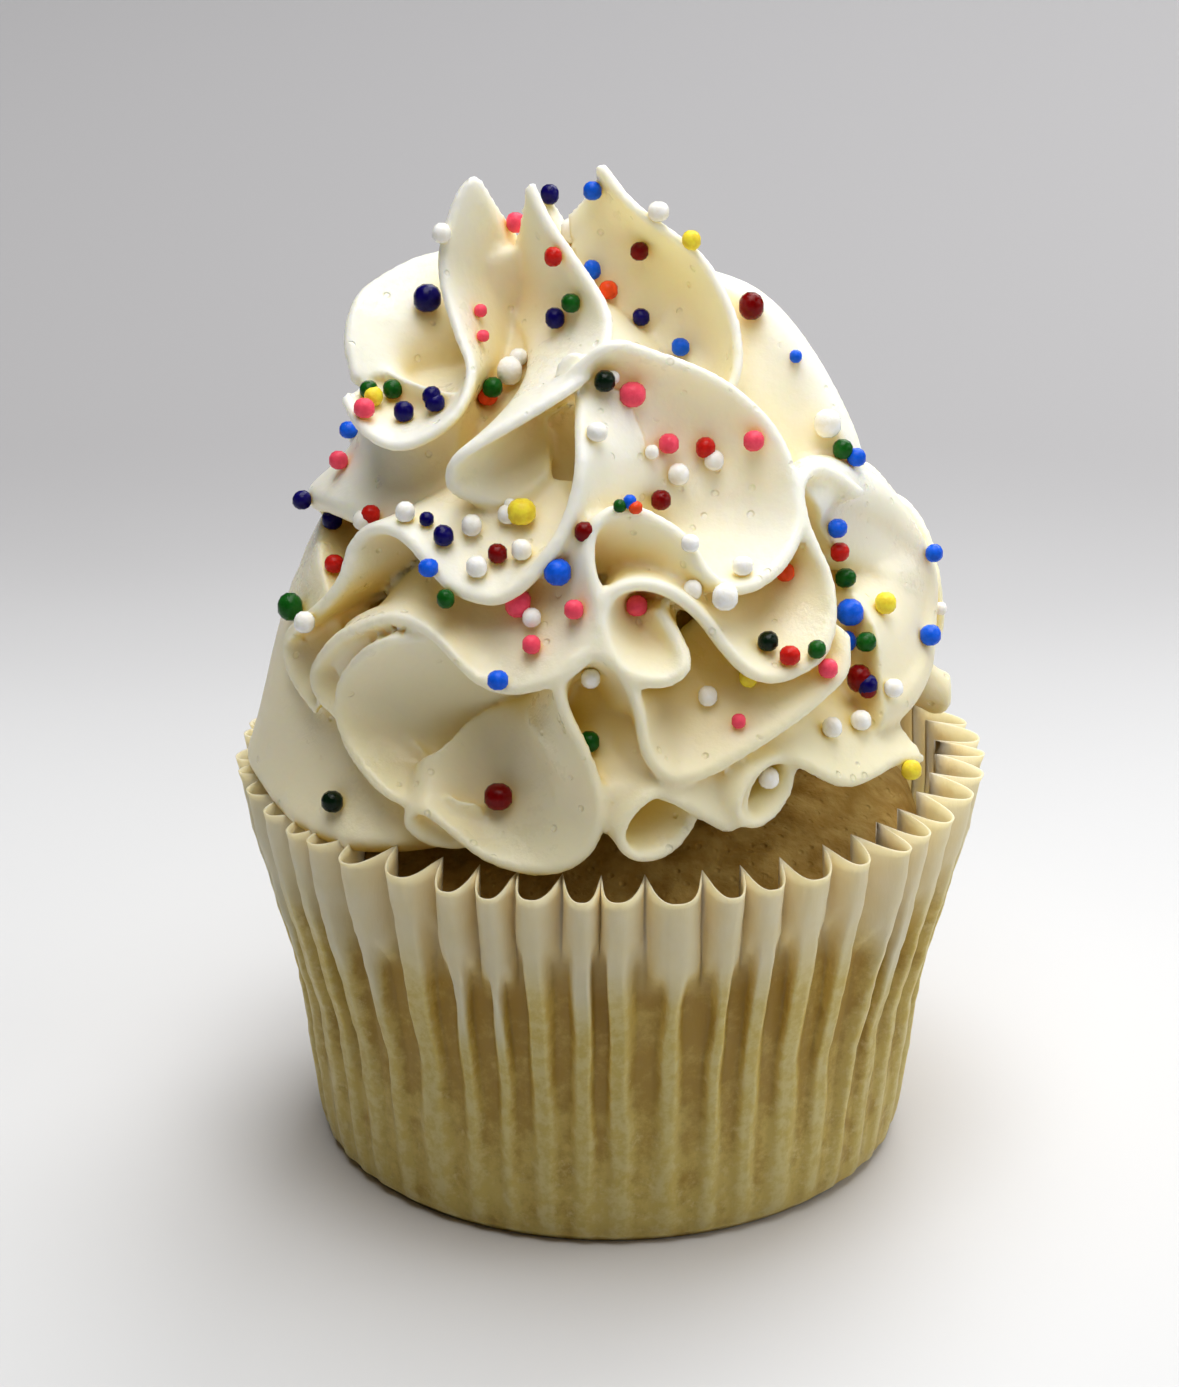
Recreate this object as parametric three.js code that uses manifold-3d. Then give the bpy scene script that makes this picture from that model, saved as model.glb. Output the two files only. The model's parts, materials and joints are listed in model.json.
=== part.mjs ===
// A cupcake: a pleated paper case, the sponge baked in it, and one tall piped swirl of frosting.
// Millimetres, +Z up. The origin is the centre of the case's base, which rests on z = 0.
import * as THREE from "three";
import { mergeVertices } from "three/addons/utils/BufferGeometryUtils.js";
import Module from "manifold-3d";

const wasm = await Module();
wasm.setup();

// Paper case
const BASE_RADIUS = 25; // the flat disc that the case stands on
const RIM_RADIUS = 33; // over the outward folds
const RIM_HEIGHT = 35.8; // of the outward folds
const RIM_DIP = 0.16; // how much more an inward fold's rim lies in than up
const PLEATS = 46;
const PAPER = 0.5;
const FOLD_HALF = 0.2; // half width of an outward fold, as a share of one pleat
const UNEVEN = { swing: 5, outward: 0.12, inward: 0.06, depth: 0.03 }; // how the pleats differ, as shares
const PRESSED_FLAT = 0.05; // share of a pleat's depth that handling has taken
const WALL_OUTLINE = [ // height and radius along an outward fold
  [0, BASE_RADIUS],
  [2, 26.6],
  [14, 27.8],
  [25, 30.4],
  [RIM_HEIGHT, RIM_RADIUS],
];

// Sponge
const GAP = 0.3; // between touching pieces
const CRUST_EDGE = 28.8; // height at which the dome leaves the paper
const CRUST_TOP = 37.5;
const SPONGE_SIDES = 44;

// Frosting
const SWIRL_TOP = 88;
const FROSTING_OUTLINE = [ // height, reach from the swirl's own axis, and that axis's x
  [30, 27, 0],
  [38, 29.5, 0],
  [46, 29.3, 0],
  [53, 28.5, 0],
  [58, 27, -0.5],
  [62, 24, -1.5],
  [68, 20, -3],
  [74, 17, -3.5],
  [80, 12, -4.5],
  [SWIRL_TOP, 6, -6],
];
const CORE_SHARE = 0.84; // the solid heart's reach, as a share of the outline's
const CORE_TOP = 74;
const CORE_SIDES = 32;
const ROOT_SHARE = 0.5; // where a sheet of frosting leaves the heart, on the same scale
const RUFFLE = { heading: -2, turns: 4.4, from: 39, to: 70, steps: 235, droop: 1, foot: 8, edge: 2 };
const FOLD = { length: 27, rise: 3.6, lean: 4.4, veer: 0.45, tuck: 0.15, uneven: 0.9 }; // one wave of the free edge
const LEAVES = 4; // the sheets that stand up at the crown
const LEAF = { from: 67, foot: 5, edge: 1.8, width: 0.85, twist: 0.5, steps: 12, base: 0.4, hollow: 7 };
const TIP_DROP = 1.2; // between one leaf's tip and the next one's
const RIM_CLEARANCE = 1.2; // how far the lowest ruffle stays above the paper's edge

const { PI, cos, sin, sqrt, hypot } = Math;
const TURN = 2 * PI;

// The value at x on a line through [x, value, ...] rows, column c.
function along(rows, x, c = 1) {
  const last = rows.length - 1;
  if (x <= rows[0][0]) return rows[0][c];
  if (x >= rows[last][0]) return rows[last][c];
  const i = rows.findIndex((row) => row[0] > x);
  const [a, b] = [rows[i - 1], rows[i]];
  return a[c] + ((b[c] - a[c]) * (x - a[0])) / (b[0] - a[0]);
}

const polar = (r, angle, z, x = 0) => new THREE.Vector3(x + r * cos(angle), r * sin(angle), z);

// A closed surface through rings of equally many points, each end closed by a fan to its centre.
function loft(rings) {
  const n = rings[0].length;
  const centre = (ring) => ring.reduce((s, p) => s.add(p), new THREE.Vector3()).divideScalar(n);
  const points = [centre(rings[0]), ...rings.flat(), centre(rings.at(-1))];
  const at = (ring, i) => 1 + ring * n + (i % n);
  const faces = [];
  for (let i = 0; i < n; i++) {
    faces.push(0, at(0, i + 1), at(0, i));
    for (let k = 0; k + 1 < rings.length; k++) {
      faces.push(at(k, i), at(k, i + 1), at(k + 1, i + 1));
      faces.push(at(k, i), at(k + 1, i + 1), at(k + 1, i));
    }
    faces.push(points.length - 1, at(rings.length - 1, i), at(rings.length - 1, i + 1));
  }
  return new THREE.BufferGeometry().setFromPoints(points).setIndex(faces);
}

function toSolid(geometry) {
  const bare = geometry.clone();
  bare.deleteAttribute("normal");
  bare.deleteAttribute("uv");
  const merged = mergeVertices(bare, 1e-3);
  return new wasm.Manifold(new wasm.Mesh({
    numProp: 3,
    vertProperties: new Float32Array(merged.attributes.position.array),
    triVerts: new Uint32Array(merged.index.array),
  }));
}

function toGeometry(solid) {
  const { vertProperties, triVerts, numProp, numVert } = solid.getMesh();
  const points = [];
  for (let i = 0; i < numVert; i++) {
    points.push(new THREE.Vector3(...vertProperties.subarray(i * numProp, i * numProp + 3)));
  }
  return new THREE.BufferGeometry().setFromPoints(points).setIndex([...triVerts]);
}

// How deep the pleats are at a height. The case is a flat disc gathered into a cup, so a pleat's
// two sides hold the paper that the smaller circle has no room for.
function pleatDepth(z) {
  const radius = along(WALL_OUTLINE, z);
  const slant = hypot(z, radius - BASE_RADIUS);
  const side = (PI * (BASE_RADIUS + slant)) / PLEATS;
  const half = (PI * (radius - UNEVEN.inward * slant)) / PLEATS;
  return sqrt(Math.max(0, side * side - half * half)) * (1 - PRESSED_FLAT);
}

// One level of the pleated wall, offset to either side of the paper's middle.
function pleatRing(z, offset) {
  const depth = pleatDepth(z);
  const outer = along(WALL_OUTLINE, z) - PAPER / 2;
  const pitch = TURN / PLEATS;
  const astray = (i, share) => share * sin(UNEVEN.swing * i);
  const outline = [];
  for (let i = 0; i < PLEATS; i++) {
    const middle = (i + astray(i, UNEVEN.outward)) * pitch;
    const next = (i + 0.5 + astray(i, UNEVEN.inward) + astray(i + 1, UNEVEN.inward)) * pitch;
    const ridge = outer + depth * astray(i, UNEVEN.depth);
    outline.push([ridge, middle - FOLD_HALF * pitch], [ridge, middle + FOLD_HALF * pitch], [outer - depth, next]);
  }
  const flat = outline.map(([r, a]) => new THREE.Vector2(r * cos(a), r * sin(a)));
  const lift = (r) => z + (RIM_DIP * z * (outer - r)) / RIM_HEIGHT;
  return flat.map((p, i) => {
    const n = flat.length;
    const across = flat[(i + 1) % n].clone().sub(flat[(i + n - 1) % n]).normalize();
    const moved = p.clone().add(new THREE.Vector2(across.y, -across.x).multiplyScalar(offset));
    return new THREE.Vector3(moved.x, moved.y, lift(outline[i][0]));
  });
}

function paperCase() {
  const heights = WALL_OUTLINE.map(([z]) => z);
  const half = PAPER / 2;
  const outside = heights.map((z) => pleatRing(z, half));
  const inside = heights.map((z) => pleatRing(Math.max(z, PAPER), -half)).reverse();
  for (const point of outside[0]) point.z = 0;
  for (const point of inside.at(-1)) point.z = PAPER;
  return loft([...outside, ...inside]);
}

// Reach of the sponge's side, which stays inside the pleats' inward folds.
const spongeReach = (z) => along(WALL_OUTLINE, z) - pleatDepth(z) - PAPER - GAP;
const domeReach = spongeReach(CRUST_EDGE);

// Height of the sponge's top at a reach from the axis: a flat arc, steeper at its edge.
const crustHeight = (r) => CRUST_EDGE + (CRUST_TOP - CRUST_EDGE) * (1 - (r / domeReach) ** 2.4);

function round(reach, z, sides) {
  return Array.from({ length: sides }, (_, i) => polar(reach, (TURN * i) / sides, z));
}

function sponge() {
  const side = [PAPER + GAP, 2.5, 14, CRUST_EDGE].map((z) => round(spongeReach(z), z, SPONGE_SIDES));
  const dome = [0.94, 0.85, 0.7, 0.5, 0.25].map((share) => {
    const r = share * domeReach;
    return round(r, crustHeight(r), SPONGE_SIDES);
  });
  return loft([...side, ...dome]);
}

// Everything that the frosting keeps off: the sponge's dome, and the paper's edge round it.
function keepOut() {
  const shares = [1.35, 1, 0.94, 0.85, 0.7, 0.5, 0.25];
  const dome = shares.map((share) => {
    const r = share * domeReach;
    return round(r, (share > 1 ? CRUST_EDGE - 6 : crustHeight(r)) + GAP, SPONGE_SIDES);
  });
  const under = toSolid(loft([round(1.35 * domeReach, 0, SPONGE_SIDES), ...dome]));
  const edge = RIM_HEIGHT + RIM_CLEARANCE;
  const room = along(WALL_OUTLINE, RIM_HEIGHT) - pleatDepth(RIM_HEIGHT) - PAPER - GAP;
  const block = toSolid(loft([round(2 * RIM_RADIUS, 0, CORE_SIDES), round(2 * RIM_RADIUS, edge, CORE_SIDES)]));
  const bore = toSolid(loft([round(room, -1, SPONGE_SIDES), round(room, edge + 1, SPONGE_SIDES)]));
  return under.add(block.subtract(bore));
}

// The solid heart that the ruffles grow from.
function heart() {
  const levels = [...FROSTING_OUTLINE.map(([z]) => z).filter((z) => z < CORE_TOP), CORE_TOP];
  return loft(levels.map((z) => {
    const r = CORE_SHARE * along(FROSTING_OUTLINE, z);
    return Array.from({ length: CORE_SIDES }, (_, i) => {
      return polar(r, (TURN * i) / CORE_SIDES, z, along(FROSTING_OUTLINE, z, 2));
    });
  }));
}

// A sheet of frosting from its root line to its free edge, thick at the root and thin at the edge.
function sheet(root, rim, { foot, edge }) {
  const shares = [0, 0.5, 1];
  const last = root.length - 1;
  const grid = root.map((from, k) => shares.map((share) => from.clone().lerp(rim[k], share)));
  const rings = grid.map((row, k) => {
    const before = grid[Math.max(0, k - 1)];
    const after = grid[Math.min(last, k + 1)];
    const across = row[2].clone().sub(row[0]);
    const skin = (side) => row.map((point, j) => {
      const facing = after[j].clone().sub(before[j]).cross(across).normalize();
      const half = (foot + (edge - foot) * sqrt(shares[j])) / 2;
      return point.clone().addScaledVector(facing, side * half);
    });
    return [...skin(-1), ...skin(1).reverse()];
  });
  return loft(rings);
}

const onOutline = (share, angle, z) => {
  return polar(share * along(FROSTING_OUTLINE, z), angle, z, along(FROSTING_OUTLINE, z, 2));
};

// The piped sheet: it climbs round the heart, and its free edge swings up, down, in and out.
function ruffle() {
  const root = [];
  const rim = [];
  let walked = 0;
  for (let k = 0; k <= RUFFLE.steps; k++) {
    const share = k / RUFFLE.steps;
    const angle = RUFFLE.heading + TURN * RUFFLE.turns * share;
    const z = RUFFLE.from + (RUFFLE.to - RUFFLE.from) * share;
    const reach = along(FROSTING_OUTLINE, z);
    walked += (TURN * RUFFLE.turns * reach) / RUFFLE.steps;
    const wave = (TURN * walked) / FOLD.length + FOLD.uneven * sin(walked / FOLD.length);
    const tucked = 1 - FOLD.tuck * (0.5 - 0.5 * cos(wave + 0.8));
    root.push(onOutline(ROOT_SHARE, angle, z + RUFFLE.droop));
    const lean = FOLD.lean * cos(FOLD.veer * wave);
    rim.push(onOutline(tucked, angle + (lean * sin(wave)) / reach, z + FOLD.rise * sin(wave)));
  }
  return sheet(root, rim, RUFFLE);
}

// One leaf of the crown: a cupped sheet whose free edge rises to a point and turns as it rises.
function leaf(index) {
  const heading = (TURN * (index + 0.25)) / LEAVES;
  const tip = SWIRL_TOP - TIP_DROP * index;
  const root = [];
  const rim = [];
  for (let k = 0; k <= LEAF.steps; k++) {
    const across = (2 * k) / LEAF.steps - 1;
    const up = 1 - Math.abs(across) ** 1.4;
    const angle = heading + LEAF.width * across + LEAF.twist * up;
    const z = LEAF.from + (tip - LEAF.from) * up;
    rim.push(onOutline(1, angle, z));
    root.push(onOutline(LEAF.base, angle - LEAF.twist * up, LEAF.from - 1 + LEAF.hollow * up));
  }
  return sheet(root, rim, LEAF);
}

function frosting() {
  let whole = toSolid(heart()).add(toSolid(ruffle()));
  for (let i = 0; i < LEAVES; i++) whole = whole.add(toSolid(leaf(i)));
  return toGeometry(whole.subtract(keepOut()));
}

const paint = (color, roughness) => new THREE.MeshStandardMaterial({ color, roughness, metalness: 0 });

function piece(name, geometry, material) {
  geometry.computeVertexNormals();
  const mesh = new THREE.Mesh(geometry, material);
  mesh.name = name;
  return mesh;
}

const cupcake = new THREE.Group();
cupcake.add(
  piece("paper_case", paperCase(), paint(0xcfc39b, 0.6)),
  piece("sponge", sponge(), paint(0xb3925a, 0.9)),
  piece("frosting", frosting(), paint(0xf6efdc, 0.45)),
);

export default cupcake;
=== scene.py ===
"""A cupcake in a pleated paper case, with ruffled buttercream and sugar pearls, dressed for a close look.

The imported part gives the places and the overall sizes. The paper case, the sponge, the buttercream and the
sugar pearls are each built here as a finer piece that stands for its plain counterpart.
"""

from __future__ import annotations

import json
import logging
import math
import random
from dataclasses import dataclass, field, replace
from enum import Enum

import bpy
import numpy as np
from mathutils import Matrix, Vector
from mathutils.bvhtree import BVHTree

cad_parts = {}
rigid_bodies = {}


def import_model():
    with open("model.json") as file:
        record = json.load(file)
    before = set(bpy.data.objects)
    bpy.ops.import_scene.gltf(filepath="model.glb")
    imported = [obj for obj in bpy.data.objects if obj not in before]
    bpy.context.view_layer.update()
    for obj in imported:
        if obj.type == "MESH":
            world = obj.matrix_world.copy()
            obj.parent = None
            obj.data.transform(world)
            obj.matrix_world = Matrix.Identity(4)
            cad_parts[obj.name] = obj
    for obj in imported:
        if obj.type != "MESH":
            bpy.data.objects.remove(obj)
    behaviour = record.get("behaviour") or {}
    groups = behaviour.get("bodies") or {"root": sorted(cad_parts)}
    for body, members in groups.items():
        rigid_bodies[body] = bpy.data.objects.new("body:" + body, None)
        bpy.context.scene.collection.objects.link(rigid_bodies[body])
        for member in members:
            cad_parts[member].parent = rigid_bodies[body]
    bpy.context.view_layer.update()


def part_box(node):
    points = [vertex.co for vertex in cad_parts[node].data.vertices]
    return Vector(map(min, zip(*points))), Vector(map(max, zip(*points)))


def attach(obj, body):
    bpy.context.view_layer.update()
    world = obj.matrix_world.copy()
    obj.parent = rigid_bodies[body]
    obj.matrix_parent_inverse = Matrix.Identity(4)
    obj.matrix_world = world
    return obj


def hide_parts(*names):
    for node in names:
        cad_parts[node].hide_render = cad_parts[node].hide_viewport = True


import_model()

LOG = logging.getLogger("cupcake")
MM = 0.001
BODY = "root"

Point = tuple[float, float, float]
Knot = tuple[float, ...]
Colour = tuple[float, float, float, float]


@dataclass(frozen=True)
class Measure:
    """A plain node's own sizes in mm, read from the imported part.

    Attributes:
        radius: Its mean radius.
        foot: The height of its lowest point.
        top: The height of its highest point.
    """

    radius: float
    foot: float
    top: float

    @classmethod
    def of(cls, node: str) -> Measure:
        """Reads a node's sizes from its box.

        Args:
            node: The node's name.

        Returns:
            Its sizes.
        """
        low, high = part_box(node)
        size = (high - low) / MM
        return cls((size.x + size.y) / 4, low.z / MM, high.z / MM)


CASE = Measure.of("paper_case")
CAKE = Measure.of("sponge")
HEAP = Measure.of("frosting")
SOAK_LINE = CASE.top - 7.5
"""The height up to which the cake's fat has soaked the paper, in mm."""


# ------------------------------------------------------------------ outlines and routes


def along(table: tuple[tuple[float, ...], ...], at: float | np.ndarray,
          column: int = 1) -> float | np.ndarray:
    """Reads a small outline table between its rows.

    Args:
        table: Rows whose first value rises from row to row.
        at: The first-column value to read at.
        column: The column to read.

    Returns:
        The value in that column, held level past either end.
    """
    return np.interp(at, [row[0] for row in table], [row[column] for row in table])


OUTLINE = ((30, 30.0, 0.0), (46, 29.5, 0.0), (54, 29.0, -0.4), (62, 25.5, -1.3), (70, 21.5, -2.5),
           (78, 16.5, -4.0), (84, 12.5, -5.1), (92, 5.0, -6.2))
"""The buttercream's outline in mm: height above the table, how far it reaches, how far its middle leans."""


def around(*knots: tuple[float, ...], reach: float = 1.0) -> tuple[Point, ...]:
    """Places knots round the outline.

    Args:
        *knots: Each a bearing in degrees (0 in front, rising to the right), a height in mm and, if it
            differs from the others, its share of the outline's reach.
        reach: The share of the outline's reach for knots that name none.

    Returns:
        The places in mm.
    """
    places = []
    for knot in knots:
        bearing, height = math.radians(knot[0]), knot[1]
        far = along(OUTLINE, height) * (knot[2] if len(knot) > 2 else reach)
        lean = along(OUTLINE, height, 2)
        places.append((lean + far * math.sin(bearing), -far * math.cos(bearing), height))
    return tuple(places)


STEPS_PER_KNOT = 16
"""How finely a route is drawn from one knot to the next before its points are spaced evenly."""
FEWEST_POINTS = 4


def smooth_route(knots: tuple[Point, ...], spacing: float, count: int = 0) -> np.ndarray:
    """Draws a smooth curve through knots, by the Catmull-Rom formula.

    Args:
        knots: The places that the curve passes through.
        spacing: The distance between points along the curve.
        count: The number of points, if it is fixed beforehand.

    Returns:
        Points evenly spaced along the curve, one row each.
    """
    knot = np.array(knots, dtype=float)
    knot = np.vstack([2 * knot[0] - knot[1], knot, 2 * knot[-1] - knot[-2]])
    share = np.linspace(0, 1, STEPS_PER_KNOT, endpoint=False)[:, None]
    parts = []
    for a, b, c, d in zip(knot, knot[1:], knot[2:], knot[3:]):
        parts.append(0.5 * (2 * b + (c - a) * share + (2 * a - 5 * b + 4 * c - d) * share ** 2
                            + (3 * b - a - 3 * c + d) * share ** 3))
    fine = np.vstack(parts + [knot[-2:-1]])
    walked = np.concatenate([[0], np.cumsum(np.linalg.norm(np.diff(fine, axis=0), axis=1))])
    number = count or max(FEWEST_POINTS, int(walked[-1] / spacing))
    even = np.linspace(0, walked[-1], number)
    return np.stack([np.interp(even, walked, fine[:, axis]) for axis in range(3)], axis=1)


# ------------------------------------------------------------------ the piped folds


MOUTH_SLANT = 0.7
"""How much higher the right edge of a rolled ribbon's mouth lies than its middle, in mm."""
MOUTH_SWING = 0.03
"""How much further in that edge lies than the middle, as a share of the outline's reach."""
MOUTH_KNOTS = 10
MOUTH_START = -30.0
"""Where on the mouth its first knot and its last lie, in degrees."""


def mouth(bearing: float, height: float, wide: float, tall: float, share: float = 1.0) -> tuple[Knot, ...]:
    """Draws the open end of a rolled ribbon.

    Args:
        bearing: Where its middle faces, in degrees.
        height: The height of its middle in mm.
        wide: Half its width, in degrees round the heap.
        tall: Half its height in mm.
        share: Its share of the outline's reach.

    Returns:
        Knots round the opening, each a bearing, a height and a share.
    """
    knots = []
    for step in range(MOUTH_KNOTS):
        angle = math.radians(MOUTH_START + 360 / (MOUTH_KNOTS - 1) * step)
        level = height + tall * math.sin(angle) + MOUTH_SLANT * math.cos(angle)
        knots.append((bearing + wide * math.cos(angle), level, share - MOUTH_SWING * math.cos(angle)))
    return tuple(knots)


def drawn_in(knots: tuple[Knot, ...], turn: float, lift: float, sink: float) -> tuple[Point, ...]:
    """Places the far end of a rolled ribbon.

    Args:
        knots: The knots round its mouth.
        turn: How far round the heap the far end lies from the mouth, in degrees.
        lift: How much higher it lies, in mm.
        sink: How much deeper it lies, as a share of the outline's reach.

    Returns:
        The places in mm.
    """
    return around(*((bearing + turn, height + lift, share - sink) for bearing, height, share in knots))


@dataclass(frozen=True)
class Fold:
    """One ruffle of buttercream: a sheet between a thin free rim and a thick root in the heap.

    Attributes:
        name: What the fold is called.
        rim: Knots of the free edge, in mm.
        root: Knots of the line where the sheet leaves the heap, in mm.
        edge: The sheet's thickness at the rim, in mm.
        foot: The sheet's thickness at the root, in mm.
        belly: How far the sheet bows between rim and root, in mm, at even steps along the rim.
    """

    name: str
    rim: tuple[Point, ...]
    root: tuple[Point, ...]
    edge: float = 1.2
    foot: float = 4.5
    belly: tuple[float, ...] = (0.0,)


FRONT_SCROLL = mouth(7.4, 41.4, 6.1, 2.8)
SIDE_SCROLL = mouth(25.6, 43.0, 5.9, 2.5, 0.99)

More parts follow.
